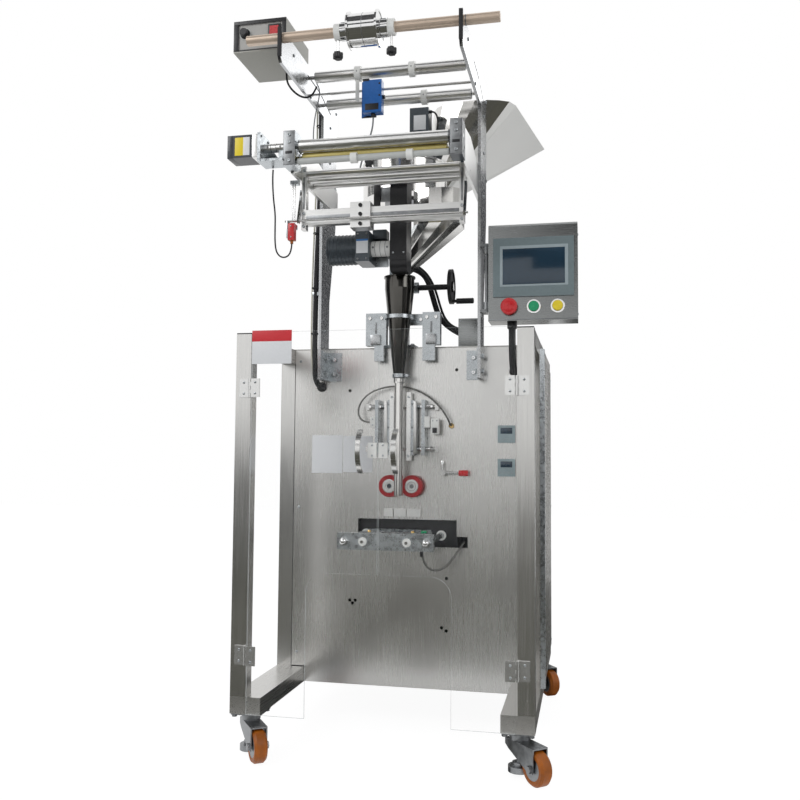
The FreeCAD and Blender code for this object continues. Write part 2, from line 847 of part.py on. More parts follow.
def door(side):
    name = "left_door" if side < 0 else "right_door"
    sheet_y = (-s.door_front, -s.door_front + s.door_sheet)
    points = [(side * s.door_split, s.door_high), (side * s.door_split, s.arch_high),
              (side * s.arch_half, s.arch_high), (side * s.arch_half, s.door_low),
              (side * s.door_outer, s.door_low), (side * s.door_outer, s.door_high)]
    if side < 0:
        points = points[::-1]
    pane = plate("Y", sheet_y, points, rounds=[(side * s.arch_half, s.arch_high)], radius=s.arch_round)
    node(name, pane)
    front = -s.door_front
    pieces = [feature(bowed_grip(side))]
    pieces.append(box(span_of(side, s.door_split + 1, s.door_split + 23), (front - 8, front),
                      (s.catch_z - 18, s.catch_z + 19)))
    for z in (s.hinge_low_z, s.hinge_high_z):
        sections = hinge_sections(z)
        low, high = sections[0][0], sections[4][1]
        leaf = [box(span_of(side, s.hinge_x - 28, s.hinge_x - s.knuckle_radius - 1),
                    (front - s.leaf_sheet, front), (low, high))]
        for index in (1, 3):
            section = (sections[index][0], sections[index][1])
            leaf.append(box(span_of(side, s.hinge_x - s.knuckle_radius - 1, s.hinge_x - s.hinge_pin_radius - 1),
                            (front - s.leaf_sheet, front + 0 * s.post), section))
            leaf.append(rod("Z", section, (side * s.hinge_x, -s.hinge_y), s.knuckle_radius))
        bore = rod("Z", (low - 1, high + 1), (side * s.hinge_x, -s.hinge_y), s.hinge_pin_radius + s.running)
        pieces.append(cut(fuse(*leaf), bore))
    node(name + "_fittings", *pieces)


# Side plates, their feet and the hinge lugs of the control box


def arm_plate(side):
    notch_half = s.shaft_radius + s.seat
    notch_low = s.shaft_z - notch_half
    foot_back = s.panel_front
    points = [(s.arm_tip_y, s.arm_low + 12), (s.arm_tip_y + 12, s.arm_low), (s.leg_front_y, s.arm_low),
              (s.leg_front_y, s.leg_foot_z), (foot_back, s.leg_foot_z), (foot_back, s.leg_bend_low),
              (s.arm_rear_y, s.leg_bend_high), (s.arm_rear_y, s.arm_high),
              (s.shaft_y + notch_half, s.arm_high), (s.shaft_y + notch_half, notch_low),
              (s.shaft_y - notch_half, notch_low), (s.shaft_y - notch_half, s.arm_high),
              (s.arm_tip_y, s.arm_high)]
    return plate("X", from_film(side, s.arm_inner, s.arm_inner + s.arm_sheet), points,
                 rounds=[(s.shaft_y + notch_half, notch_low), (s.shaft_y - notch_half, notch_low)],
                 radius=notch_half - 0.5)


def foot_bracket(side):
    """Angle that screws the foot of a side plate to the front panel."""
    z = (s.bracket_z - s.bracket_half_height, s.bracket_z + s.bracket_half_height)
    inner = s.arm_inner - s.bracket_sheet
    pieces = [box(from_film(side, inner, s.arm_inner), (s.panel_front - s.bracket_leg * 1.6, s.panel_front), z),
              box(from_film(side, s.arm_inner - s.bracket_leg, inner),
                  (s.panel_front - s.bracket_sheet, s.panel_front), z)]
    face = s.panel_front - s.bracket_sheet
    for dz in (-1, 1):
        centre = (s.film_x + side * (s.arm_inner - s.bracket_leg / 2), s.bracket_z + dz * s.bracket_half_height / 2)
        pieces.append(hexagon("Y", (face - 5, face), centre, s.bolt_head_radius))
        bolt = (s.panel_front - s.bracket_leg, s.bracket_z + dz * s.bracket_half_height / 2)
        outer = from_film(side, s.arm_inner + s.arm_sheet, s.arm_inner + s.arm_sheet + 6)
        pieces.append(hexagon("X", outer, bolt, s.bolt_head_radius))
        pieces.append(rod("X", from_film(side, s.arm_inner - s.bracket_sheet - 5, s.arm_inner - s.bracket_sheet),
                          bolt, s.bolt_head_radius - 1))
    return group(*pieces)


def control_lugs():
    """Two lugs and a pin on the right side plate, on which the control box swings."""
    outer = s.right_plate + s.arm_sheet
    low = (s.box_low + 34, s.box_low + 42)
    high = (s.box_low + s.box_height - 42, s.box_low + s.box_height - 34)
    centre = (s.box_hinge_x, s.box_hinge_y)
    strap = box((outer, outer + 4), (s.leg_front_y, s.leg_front_y + 40), (low[0] - 10, high[1] + 10))
    pieces = [strap, rod("Z", (low[0], high[1]), centre, s.box_pin_radius)]
    for z in (low, high):
        pieces.append(box((outer, s.box_hinge_x), (s.box_hinge_y - 9, s.leg_front_y + 30), z))
        pieces.append(rod("Z", z, centre, 9 + 0 * s.post))
    return fuse(*pieces)


def arm_plates():
    node("arm_plates", *both_sides(arm_plate))
    node("arm_brackets", *(both_sides(foot_bracket) + [control_lugs()]))


# Reel shaft with the chuck that holds the film core


def reel():
    round_bar = rod("X", (s.film_x - s.shaft_half, s.film_x + s.shaft_half), (s.shaft_y, s.shaft_z), s.shaft_radius)
    flats = []
    for side in (-1, 1):
        outer = from_film(side, s.arm_inner + s.arm_sheet + 4, s.shaft_half + 1)
        for edge in (-1, 1):
            z = (s.shaft_z + s.shaft_radius - 2, s.shaft_z + s.shaft_radius + 1)
            if edge < 0:
                z = (s.shaft_z - s.shaft_radius - 1, s.shaft_z - s.shaft_radius + 2)
            flats.append(box(outer, (s.shaft_y - s.shaft_radius, s.shaft_y + s.shaft_radius), z))
    node("film_shaft", cut(round_bar, *flats))
    bore = s.shaft_radius + s.running
    start = s.chuck_x - s.core_seat_length / 2 - s.core_flange - s.chuck_hub
    hub_end = s.chuck_hub
    seat_start = hub_end + s.core_flange
    seat_end = seat_start + s.core_seat_length
    total = seat_end + s.core_flange + s.chuck_hub
    profile = [(bore, 0 * s.post), (s.chuck_hub_radius, 0 * s.post), (s.chuck_hub_radius, hub_end),
               (s.core_flange_radius, hub_end), (s.core_flange_radius, seat_start),
               (s.core_seat_radius, seat_start), (s.core_seat_radius, seat_end),
               (s.core_flange_radius, seat_end), (s.core_flange_radius, seat_end + s.core_flange),
               (s.chuck_hub_radius, seat_end + s.core_flange), (s.chuck_hub_radius, total), (bore, total)]
    pieces = [turned("X", start, (s.shaft_y, s.shaft_z), profile)]
    for span in ((start - s.collar, start), (start + total, start + total + s.collar)):
        centre = (s.shaft_y, s.shaft_z)
        ring = cut(rod("X", span, centre, s.collar_radius), rod("X", (span[0] - 1, span[1] + 1), centre, bore))
        middle = (span[0] + span[1]) / 2
        low = s.shaft_z - s.collar_radius - s.knob_stem
        stem = rod("Z", (low, s.shaft_z - s.collar_radius + 2), (middle, s.shaft_y), 3 + 0 * s.post)
        zero = 0 * s.post
        knob = turned("Z", low - s.knob_height, (middle, s.shaft_y),
                      [(zero, zero), (s.knob_radius - 3, zero), (s.knob_radius, 5 + zero),
                       (s.knob_radius, s.knob_height - 6), (5 + zero, s.knob_height), (zero, s.knob_height)])
        pieces.append(fuse(ring, stem, knob))
    node("reel_chuck", *pieces)


# Rollers: a tube that turns on a fixed spindle, or a bar that turns on its own journals


def sleeve_roller(name, half, y, z, radius, rings):
    centre = (y, z)
    span = (s.film_x - half, s.film_x + half)
    pieces = [rod("X", span, centre, radius)]
    for offset in rings:
        pieces.append(rod("X", (s.film_x + offset - s.ring_width / 2, s.film_x + offset + s.ring_width / 2),
                          centre, s.ring_radius))
    bore = rod("X", (span[0] - 1, span[1] + 1), centre, s.spindle_radius + s.running)
    node(name, cut(fuse(*pieces), bore))


def journal_roller(name, inner_half, reach, y, z, radius, journal, rings=()):
    """A roller whose thinner ends run in bores that lie beyond inner_half."""
    centre = (y, z)
    pieces = [rod("X", (s.film_x - inner_half, s.film_x + inner_half), centre, radius)]
    for side in (-1, 1):
        pieces.append(rod("X", from_film(side, inner_half, reach), centre, journal))
    for offset in rings:
        pieces.append(rod("X", (s.film_x + offset - s.ring_width / 2, s.film_x + offset + s.ring_width / 2),
                          centre, radius + 5))
    return node(name, fuse(*pieces))


def idler_places():
    return [(s.idler_front_y + index * s.idler_step_y, s.idler_z) for index in range(3)]


def rollers():
    sleeve_roller("upper_roller_front", s.upper_roller_half, s.upper_front_y, s.upper_front_z,
                  s.upper_roller_radius, (-86, 62))
    sleeve_roller("upper_roller_rear", s.upper_roller_half, s.upper_rear_y, s.upper_rear_z,
                  s.upper_roller_radius, (-70, 74))
    reach = s.block_inner + s.block_width - 4
    nip_drop = (float(s.feed_roller_radius + s.nip_radius + s.seat) ** 2 - float(s.nip_back) ** 2) ** 0.5
    derive("nip_z", s.feed_z - nip_drop)
    feed = journal_roller("feed_roller", s.block_inner - 4, s.block_inner + s.block_width, s.feed_y, s.feed_z,
                          s.feed_roller_radius, s.journal_radius)
    motor_face = s.motor_left + s.motor_length + s.motor_flange + s.seat
    coupling = rod("X", (motor_face, s.left_block - 2), (s.feed_y, s.feed_z), s.coupling_radius)
    stub = rod("X", (s.left_block - 2, s.left_block), (s.feed_y, s.feed_z), s.journal_radius)
    node("feed_roller", fuse(feed, stub, coupling))
    journal_roller("nip_roller", s.block_inner - 12, reach, s.nip_y, s.nip_z, s.nip_radius, s.journal_radius)
    journal_roller("guide_roller", s.block_inner - 4, reach, s.guide_y, s.guide_z, s.guide_radius,
                   s.idler_journal, (-46, 94))
    for number, (y, z) in enumerate(idler_places(), 1):
        inner = s.arm_inner - s.cheek_sheet - s.bar_width - 1
        end = s.arm_inner - s.cheek_sheet - 1
        if number > 1:
            inner = s.arm_inner - s.cheek_sheet - 1
            end = s.arm_inner - 1
        journal_roller("idler_roller_%d" % number, inner, end, y, z, s.idler_radius, s.idler_journal)


def bored(piece, side, near, far, bores):
    """Cut round holes along X through a piece that lies between near and far from the film line."""
    span = from_film(side, near - 1, far + 1)
    return cut(piece, *[rod("X", span, (y, z), radius + s.running) for y, z, radius in bores])


def film_subframe():
    """Bearing blocks, cheeks, hanging bars, cross profile, clamp, roller spindles and rods."""
    pieces = []
    for side in (-1, 1):
        near, far = s.block_inner, s.block_inner + s.block_width
        block = box(from_film(side, near, far), (s.block_front_y, s.block_rear_y), (s.block_low, s.block_high))
        bores = [(s.feed_y, s.feed_z, s.journal_radius), (s.nip_y, s.nip_z, s.journal_radius),
                 (s.guide_y, s.guide_z, s.idler_journal)]
        pieces.append(bored(block, side, near, far, bores))
        near, far = s.arm_inner - s.cheek_sheet, s.arm_inner
        points = [(s.cheek_front_y, s.cheek_low), (s.cheek_rear_y, s.cheek_low), (s.cheek_rear_y, s.cheek_high - 34),
                  (s.leg_front_y - 150, s.cheek_high + 8), (s.cheek_front_y, s.cheek_high - 8)]
        cheek = plate("X", from_film(side, near, far), points)
        pieces.append(bored(cheek, side, near, far, [(y, z, s.idler_journal) for y, z in idler_places()[1:]]))
        near, far = near - s.bar_width, near
        bar = box(from_film(side, near, far), (s.bar_y, s.bar_y + s.bar_depth), (s.bar_low, s.bar_high))
        front_idler = idler_places()[0]
        bores = [(front_idler[0], front_idler[1], s.idler_journal),
                 (s.dancer_pivot_y, s.dancer_pivot_z, s.idler_journal)]
        pieces.append(bored(bar, side, near, far, bores))
    inner = s.arm_inner - s.cheek_sheet - s.bar_width
    ends = (s.film_x - inner, s.film_x + inner)
    profile_z = (s.profile_low, s.profile_low + s.profile_height)
    pieces.append(box(ends, (s.bar_y, s.bar_y + s.bar_depth), profile_z))
    clamp = [(s.bar_y - 8, s.profile_low - 14), (s.bar_y + s.bar_depth + 12, s.profile_low - 14),
             (s.bar_y + s.bar_depth + 12, profile_z[1] + 12), (s.bar_y - 8, profile_z[1] + 12)]
    clamp_x = (s.film_x - 80, s.film_x - 27)
    channel = box((clamp_x[0] - 1, clamp_x[1] + 1), (s.bar_y, s.bar_y + s.bar_depth), profile_z)
    pieces.append(cut(plate("X", clamp_x, clamp), channel))
    gap = (s.left_plate, s.right_plate)
    for y, z in ((s.upper_front_y, s.upper_front_z), (s.upper_rear_y, s.upper_rear_z)):
        pieces.append(rod("X", gap, (y, z), s.spindle_radius))
    pieces.append(rod("X", gap, (s.thin_rod_y, s.thin_rod_z), s.thin_rod_radius))
    return node("film_subframe", *pieces)


def dancer():
    """Rod on two hanging arms that the film loop swings forward."""
    rod_centre = (s.dancer_rod_y, s.dancer_rod_z)
    pieces = [rod("X", (s.dancer_left, s.dancer_right), rod_centre, s.dancer_rod_radius)]
    near = s.arm_inner - s.cheek_sheet + s.seat
    for side in (-1, 1):
        points = [(s.dancer_pivot_y - 7, s.dancer_pivot_z + 7), (s.dancer_pivot_y - 9, s.dancer_pivot_z - 6),
                  (s.dancer_rod_y - 7, s.dancer_rod_z), (s.dancer_rod_y - 4, s.dancer_rod_z - 7),
                  (s.dancer_rod_y + 6, s.dancer_rod_z - 7), (s.dancer_rod_y + 8, s.dancer_rod_z),
                  (s.dancer_pivot_y + 8, s.dancer_pivot_z - 4), (s.dancer_pivot_y + 7, s.dancer_pivot_z + 7)]
        pieces.append(plate("X", from_film(side, near, near + s.dancer_sheet), points))
        pieces.append(rod("X", from_film(side, near - s.seat - s.bar_width + 1, near),
                          (s.dancer_pivot_y, s.dancer_pivot_z), s.idler_journal))
    return node("dancer", fuse(*pieces))


def feed_motor():
    """Stepper motor, its flange and bracket, and the coupling to the feed roller."""
    half = s.motor_square / 2
    y = (s.feed_y - half, s.feed_y + half)
    z = (s.feed_z - half, s.feed_z + half)
    end = s.motor_left + s.motor_length
    flange = end + s.motor_flange
    outer = s.left_block
    pieces = [box((s.motor_left, end), y, z),
              box((end, flange), (y[0] - 2, y[1] + 2), (z[0] - 12, z[1] + 4))]
    floor = z[0] - 12
    pieces.append(box((flange, outer), y, (floor, floor + 6)))
    web = [(flange, floor + 6), (flange + 40, floor + 6), (flange, z[1] - 8)]
    pieces.append(plate("Y", (y[1] - 4, y[1]), web))
    pieces.append(box((outer - s.bar_width, outer), (s.block_front_y, s.block_rear_y), (floor + 6, floor + 26)))
    return node("feed_motor", fuse(*pieces))


def sensors():
    """Photo-eye for the print mark, on the thin rod, and the switch under the dancer."""
    eye_x = (s.eye_x - s.eye_width / 2, s.eye_x + s.eye_width / 2)
    eye_y = (s.eye_back_y - s.eye_depth, s.eye_back_y)
    eye = box(eye_x, eye_y, (s.eye_low, s.eye_low + s.eye_height))
    lens = rod("X", (eye_x[1], eye_x[1] + 6), (s.eye_back_y - 12, s.eye_low + s.eye_height / 2), 5 + 0 * s.post)
    strap_z = (s.eye_low + 20, s.thin_rod_z + 10)
    strap = box((eye_x[0] - 10, eye_x[0] + 30), (s.eye_back_y, s.eye_back_y + 3), (s.eye_low - 4, strap_z[1]))
    hub = box((eye_x[0] + 2, eye_x[0] + 26), (s.eye_back_y + 3, s.thin_rod_y + 9), (s.thin_rod_z - 9, s.thin_rod_z + 9))
    hub = cut(hub, rod("X", (eye_x[0], eye_x[0] + 30), (s.thin_rod_y, s.thin_rod_z), s.thin_rod_radius + s.running))
    gland = rod("Z", (s.eye_low - 9, s.eye_low), (s.eye_x, s.eye_back_y - s.eye_depth / 2), 5 + 0 * s.post)
    half = s.switch_width / 2
    top = s.dancer_rod_z - s.dancer_rod_radius - 4
    switch = box((s.switch_x - half, s.switch_x + half), (s.dancer_rod_y - half, s.dancer_rod_y + half),
                 (top - s.switch_height, top))
    boot = rod("Z", (top - s.switch_height - 8, top - s.switch_height), (s.switch_x, s.dancer_rod_y), 4 + 0 * s.post)
    hang_y = s.dancer_rod_y + half - 4
    hangers = [rod("Z", (top, s.cheek_low - 10), (s.switch_x + dx, hang_y + 4 + s.dancer_rod_radius), 1.6 + 0 * s.post)
               for dx in (-3, 3)]
    carrier = box((s.switch_x - half, s.left_plate + 1), (hang_y, hang_y + 16), (s.cheek_low - 10, s.cheek_low))
    foot = box((s.switch_x - half, s.switch_x + half), (s.dancer_rod_y + half, hang_y + 14), (top - 12, top))
    return node("film_sensors", fuse(eye, lens, strap, gland), hub, fuse(switch, boot, foot, *hangers), carrier)


def aux_case():
    """Small control case on the outside of the left side plate, with a rocker switch."""
    right = s.left_plate - s.arm_sheet
    left = right - s.case_width
    y = (s.case_front_y, s.case_front_y + s.case_depth)
    z = (s.case_low, s.case_low + s.case_height)
    shell = box((left, right), y, z)
    lip = 4 + 0 * s.post
    recess = box((left + lip, right - lip), (y[0] - 1, y[0] + 3), (z[0] + lip, z[1] - lip))
    body = cut(shell, recess)
    rocker = box((right - 44, right - 20), (y[0] - 1, y[0] + 3), (z[0] + 36, z[0] + 60))
    lamp = rod("Y", (y[0] + 1, y[0] + 3), (right - 56, z[0] + 30), 3 + 0 * s.post)
    node("aux_case", body, rocker, lamp)
    knob_y = y[0] + 3 - s.seat
    centre = (left + 30, z[0] + s.case_height / 2 + 6)
    zero = 0 * s.post
    profile = [(zero, zero), (s.case_knob_radius - 1, zero), (s.case_knob_radius, 2 + zero),
               (s.case_knob_radius, 13 + zero), (s.case_knob_radius + 3, 14.5 + zero), (s.case_knob_radius + 3, 17 + zero), (zero, 17 + zero)]
    node("aux_knob", turned("Y", knob_y - 17, centre, profile))


# Metering unit over the cabinet


def metering_stand():
    """Column on the cabinet top with arms to the belt guard and the funnel holder."""
    half = s.column / 2
    top = s.frame_top + s.cover_sheet
    x = (s.column_x - half, s.column_x + half)
    y = (s.column_y - half, s.column_y + half)
    column = box(x, y, (top, s.drum_low - 6))
    foot = box((x[0] - 25, x[1] + 25), (s.panel_front + 4, y[1] + 25), (top, top + 8))
    table = rod("Z", (s.drum_low - 6, s.drum_low), (s.drum_x, s.drum_y), s.drum_radius - 65)
    gear_rear = s.gear_y + s.gear_square / 2
    arms = [box((s.guard_left, x[1]), (s.guard_front_y + s.guard_depth, y[0]), (s.guard_high - 45, s.guard_high - 15)),
            fuse(box((s.gear_left + 90, x[0] + 20), (gear_rear, gear_rear + 8), (s.gear_z - 40, s.gear_z + 40)),
                 box((x[0], x[0] + 20), (gear_rear + 8, y[0]), (s.gear_z - 16, s.gear_z + 14)))]
    boss = rod("X", (x[1], x[1] + 30), (s.column_y, s.crank_z), 16 + 0 * s.post)
    hole = rod("X", (x[1] - 20, x[1] + 31), (s.column_y, s.crank_z), 8 + s.running)
    bar_y = (s.tube_y + s.funnel_radius, s.tube_y + s.funnel_radius + 6)
    bar = box((s.film_x - 43, s.film_x + 61), bar_y, (s.holder_z - 16, s.holder_z + 16))
    hooks = []
    for block_x, tongue_x in (((-115, -56), (-90, -63)), ((48, 98), (48, 83))):
        block = box([s.film_x + value + 13 for value in block_x], (bar_y[0] - 18, bar_y[1]), (s.clamp_low, s.clamp_high))
        tongue = box([s.film_x + value + 13 for value in tongue_x], (bar_y[0] - 18, bar_y[1] - 12),
                     (s.frame_top - 40, s.clamp_low + 1))
        hooks.append(fuse(block, tongue))
    reach = box((x[0] + 4, x[1] - 4), (bar_y[1], y[0]), (s.holder_z - 6, s.holder_z + 6))
    ring_r = funnel_radius_at(s.holder_z + 5) + s.seat
    ring = rod("Z", (s.holder_z - 5, s.holder_z + 5), (s.film_x, s.tube_y), ring_r + 7)
    arm = box((s.film_x - 12, s.film_x + 12), (s.tube_y + ring_r, bar_y[0] + 1), (s.holder_z - 5, s.holder_z + 5))
    hole_through = rod("Z", (s.holder_z - 6, s.holder_z + 6), (s.film_x, s.tube_y), ring_r)
    node("funnel_holder", cut(fuse(bar, ring, arm), hole_through))
    terminal = box((s.top_box_x - s.top_box_width / 2, s.top_box_x + s.top_box_width / 2), (s.panel_front + 46, s.panel_front + 110),
                   (top, top + s.top_box_height))
    main = cut(fuse(column, foot, boss), hole)
    return node("metering_stand", main, table, *arms, reach, *hooks, terminal)


def funnel_radius_at(z):
    """Outside radius of the funnel's cone at a height."""
    slope = (s.funnel_radius - s.tube_radius - 3) / (s.funnel_neck_z - s.funnel_foot_z)
    return s.tube_radius + 3 + (z - s.funnel_foot_z) * slope


def filling_funnel():
    """Thin funnel with a rolled rim on top of the filling tube."""
    zero = 0 * s.post
    low = s.tube_end_z
    wall = s.tube_wall
    foot = s.funnel_foot_z - low
    neck = s.funnel_neck_z - low
    rim = s.funnel_rim_z - low
    inner_tube = s.tube_radius - wall
    profile = [(inner_tube, zero), (s.tube_radius, zero), (s.tube_radius, foot - 14),
               (s.tube_radius + 3, foot - 10), (s.tube_radius + 3, foot), (s.funnel_radius, neck),
               (s.funnel_radius, rim - 4), (s.funnel_radius + 3, rim - 4), (s.funnel_radius + 3, rim),
               (s.funnel_radius - wall, rim), (s.funnel_radius - wall, neck), (inner_tube, foot - 2)]
    return node("filling_funnel", turned("Z", low, (s.film_x, s.tube_y), profile))


def panels(rings):
    """A closed skin of flat triangles between rings of corners, with both ends shut."""
    faces = []
    for low, high in zip(rings, rings[1:]):
        count = len(low)
        for i in range(count):
            j = (i + 1) % count
            for corners in ((low[i], low[j], high[j]), (low[i], high[j], high[i])):
                faces.append(Part.Face(Part.makePolygon(list(corners) + [corners[0]])))
    for ring in (rings[0], rings[-1]):
        faces.append(Part.Face(Part.makePolygon(list(ring) + [ring[0]])))
    solid = Part.makeSolid(Part.makeShell(faces))
    if solid.Volume < 0:
        solid.reverse()
    return solid


def grown(ring, grow):
    """A ring of corners moved outward from its middle by a distance."""
    middle = sum(ring, Vector()) / len(ring)
    result = []
    for corner in ring:
        away = corner - middle
        result.append(middle + away * ((away.Length + grow) / away.Length))
    return result


def mouth_points():
    """Plan of the hopper's mouth: a rounded front, flat sides and a flat back, clockwise from the left."""
    return [(50, 480), (54, 455), (66, 432), (86, 417), (114, 408), (148, 401), (182, 399), (216, 403),
            (250, 412), (280, 428), (296, 460), (361, 847), (220, 850), (84, 848)]


def hopper_body(grow):
    """Sheet form from the round outlet up to the mouth, grown outward by a distance."""
    mouth = mouth_points()
    angles = [196, 208, 222, 236, 249, 261, 272, 284, 297, 311, 326, 28, 90, 152]
    low = []
    for angle in angles:
        turn = math.radians(angle)
        low.append(Vector(float(s.hopper_outlet_x) + float(s.hopper_outlet_radius) * math.cos(turn),
                          float(s.hopper_outlet_y) + float(s.hopper_outlet_radius) * math.sin(turn),
                          float(s.hopper_outlet_z)))
    top = [Vector(x, y, float(s.hopper_mouth_z)) for x, y in mouth]
    return panels([grown(low, grow), grown(top, grow)])


def hopper():
    return node("hopper", feature(hopper_body(0).cut(hopper_body(-float(s.hopper_wall)))))


def chute_solid(grow):
    """Duct with a rounded front, straight below the drum and then drawn in to the funnel."""
    left, right = float(s.chute_left), float(s.chute_right)
    front, rear = float(s.chute_front_y), float(s.chute_rear_y)
    plan = [(left, rear), (left, front + 24), (left + 16, front + 8), (left + 48, front), (right - 52, front),
            (right - 20, front + 8), (right, front + 26), (right, rear)]
    half = float(s.chute_outlet_half)
    fx, fy = float(s.film_x), float(s.tube_y)
    small = [(fx - half, fy + half), (fx - half, fy - half * 0.4), (fx - half * 0.8, fy - half * 0.8),
             (fx - half * 0.3, fy - half), (fx + half * 0.3, fy - half), (fx + half * 0.8, fy - half * 0.8),
             (fx + half, fy - half * 0.4), (fx + half, fy + half)]
    rings = []
    for ring, z in ((small, float(s.funnel_rim_z) + 6), (plan, float(s.chute_waist_z)), (plan, float(s.drum_low))):
        rings.append(grown([Vector(x, y, z) for x, y in ring], grow))
    return panels(rings)


def metering_drum():
    """Open drum with a floor, cut away for the hopper's spout, and the chute below its outlet."""
    radius = float(s.drum_radius)
    wall = float(s.drum_wall)
    centre = Vector(float(s.drum_x), float(s.drum_y), float(s.drum_low))
    height = float(s.drum_high) - centre.z
    shell = Part.makeCylinder(radius, height, centre)
    shell = shell.cut(Part.makeCylinder(radius - wall, height, centre + Vector(0, 0, wall)))
    rim = Part.makeCylinder(radius + 4, 5, centre + Vector(0, 0, height - 5))
    shell = shell.fuse(rim.cut(Part.makeCylinder(radius - wall, 5, centre + Vector(0, 0, height - 5))))
    duct = chute_solid(0).cut(chute_solid(-float(s.chute_wall)))
    corner = Vector(float(s.chute_left) + 12, float(s.chute_front_y) + 16, centre.z - 1)
    window = Part.makeBox(60, 65, wall + 2, corner)
    shell = shell.cut(window.common(Part.makeCylinder(radius - wall, wall + 4, centre - Vector(0, 0, 2))))
    shell = shell.cut(hopper_body(float(s.seat) + 0.7))
    return node("metering_drum", feature(shell), feature(duct))


def metering_disc():
    """Turning disc with six pockets on a shaft down from the gear motor over the drum."""
    zero = 0 * s.post
    low = s.drum_low + s.drum_wall + s.seat
    disc_radius = 62 + zero
    disc = rod("Z", (low, low + 8), (s.drum_x, s.drum_y), disc_radius)
    pockets = []
    for index in range(6):
        angle = math.radians(60 * index)
        pockets.append(rod("Z", (low - 1, low + 9), (s.drum_x + 44 * math.cos(angle), s.drum_y + 44 * math.sin(angle)), 12 + zero))
    shaft = rod("Z", (low + 8, s.drum_high + 8 - s.seat), (s.drum_x, s.drum_y), 8 + zero)
    return node("metering_disc", fuse(cut(disc, *pockets), shaft))


def metering_motors():
    """Gear motor with its belt guard, and the stirrer's motor on a bridge over the drum."""
    half = s.gear_square / 2
    gear_end = s.gear_left + s.gear_length
    centre = (s.gear_y, s.gear_z)
    gear_box = box((gear_end - 38, gear_end), (s.gear_y - half, s.gear_y + half), (s.gear_z - half, s.gear_z + half))
    can = rod("X", (s.gear_left, gear_end - 38), centre, half - 1)
    coupling = rod("X", (gear_end, s.guard_left), centre, 21 + 0 * s.post)
    rear = s.guard_front_y + s.guard_depth
    guard = plate("X", (s.guard_left, s.guard_right),
                  [(s.guard_front_y, s.guard_low), (rear, s.guard_low), (rear, s.guard_high), (s.guard_front_y, s.guard_high)],
                  rounds=[(s.guard_front_y, s.guard_low), (rear, s.guard_low)], radius=s.guard_depth / 3)
    bridge_z = (s.drum_high + 8, s.drum_high + 16)
    front_y = s.drum_y - s.drum_radius - 3
    stirrer_y = (s.stirrer_front_y, s.stirrer_front_y + 56)
    bridge = box((s.drum_x - 32, s.stirrer_right), (front_y, stirrer_y[1]), bridge_z)
    tail = box((s.drum_x - 32, s.drum_x + 22), (stirrer_y[1], s.drum_y + 16), bridge_z)
    legs = box((s.drum_x - 32, s.drum_x + 32), (front_y, front_y + 4), (s.drum_high, s.drum_high + 8))
    gear = box((s.stirrer_left, s.stirrer_right), stirrer_y, (bridge_z[1], bridge_z[1] + 50))
    neck = box((s.stirrer_left - 6, s.stirrer_right), (stirrer_y[0] - 6, stirrer_y[1]),
               (bridge_z[1] + 50, bridge_z[1] + 58))
    servo = box((s.stirrer_left, s.stirrer_right), stirrer_y, (bridge_z[1] + 58, s.stirrer_top))
    return node("metering_motors", fuse(gear_box, can, coupling), guard, fuse(bridge, tail, legs, gear, servo, neck))


def hand_crank():
    """Handwheel with a turning grip, on a shaft in the column's boss."""
    zero = 0 * s.post
    centre = (s.column_y, s.crank_z)
    side = s.column_x + s.column / 2
    shaft = rod("X", (side - 18, s.crank_x), centre, 8 + zero)
    profile = [(zero, zero), (16 + zero, zero), (16 + zero, 3 + zero), (s.crank_radius - 8, 3 + zero), (s.crank_radius - 8, zero),
               (s.crank_radius, zero), (s.crank_radius, 10 + zero), (s.crank_radius - 8, 10 + zero),
               (s.crank_radius - 8, 7 + zero), (16 + zero, 7 + zero), (16 + zero, 12 + zero), (zero, 12 + zero)]
    wheel = turned("X", s.crank_x, centre, profile)
    grip_z = s.crank_z - s.crank_throw
    pin = rod("X", (s.crank_x + 2, s.crank_x + 22), (s.column_y, grip_z), 4.5 + zero)
    grip = rod("X", (s.crank_x + 20, s.crank_x + 67), (s.column_y, grip_z), 8 + zero)
    return node("hand_crank", fuse(shaft, wheel, pin, grip))


# Lengthwise sealer: two heated bars that close behind the filling tube


def sealer(side):
    name = "sealer_left" if side < 0 else "sealer_right"
    front = s.seal_back_y - s.seal_depth
    near = s.seal_open
    carrier = near + s.seal_bar + 3
    outer = carrier + 28
    bar = box(from_film(side, near, near + s.seal_bar), (front, s.seal_back_y), (s.seal_low, s.seal_high))
    plate_z = (s.seal_low + 15, s.seal_high - 21)
    back = box(from_film(side, near + s.seal_bar, carrier + 4), (front + 4, s.seal_back_y), plate_z)
    press = box(from_film(side, outer, outer + 10), (front - 4, s.panel_front - 3), plate_z)
    pieces = [bar, back, press]
    for z in (plate_z[0] + 18, plate_z[1] - 18):
        pieces.append(rod("X", from_film(side, carrier + 3, outer + 24), (front + 10, z), 4 + 0 * s.post))
        pieces.append(hexagon("X", from_film(side, outer + 24, outer + 30), (front + 10, z), 6 + 0 * s.post))
    block_z = (s.seal_low + 92, s.seal_low + 122)
    pieces.append(box(from_film(side, outer + 9, outer + 24), (front - 6, front + 18), block_z))
    solid = fuse(*pieces)
    bores = [rod("X", from_film(side, outer - 1, outer + 11), (s.seal_rod_y, z), s.seal_rod_radius + s.running)
             for z in (plate_z[0] + 18, plate_z[1] - 18)]
    return node(name, cut(solid, *bores))


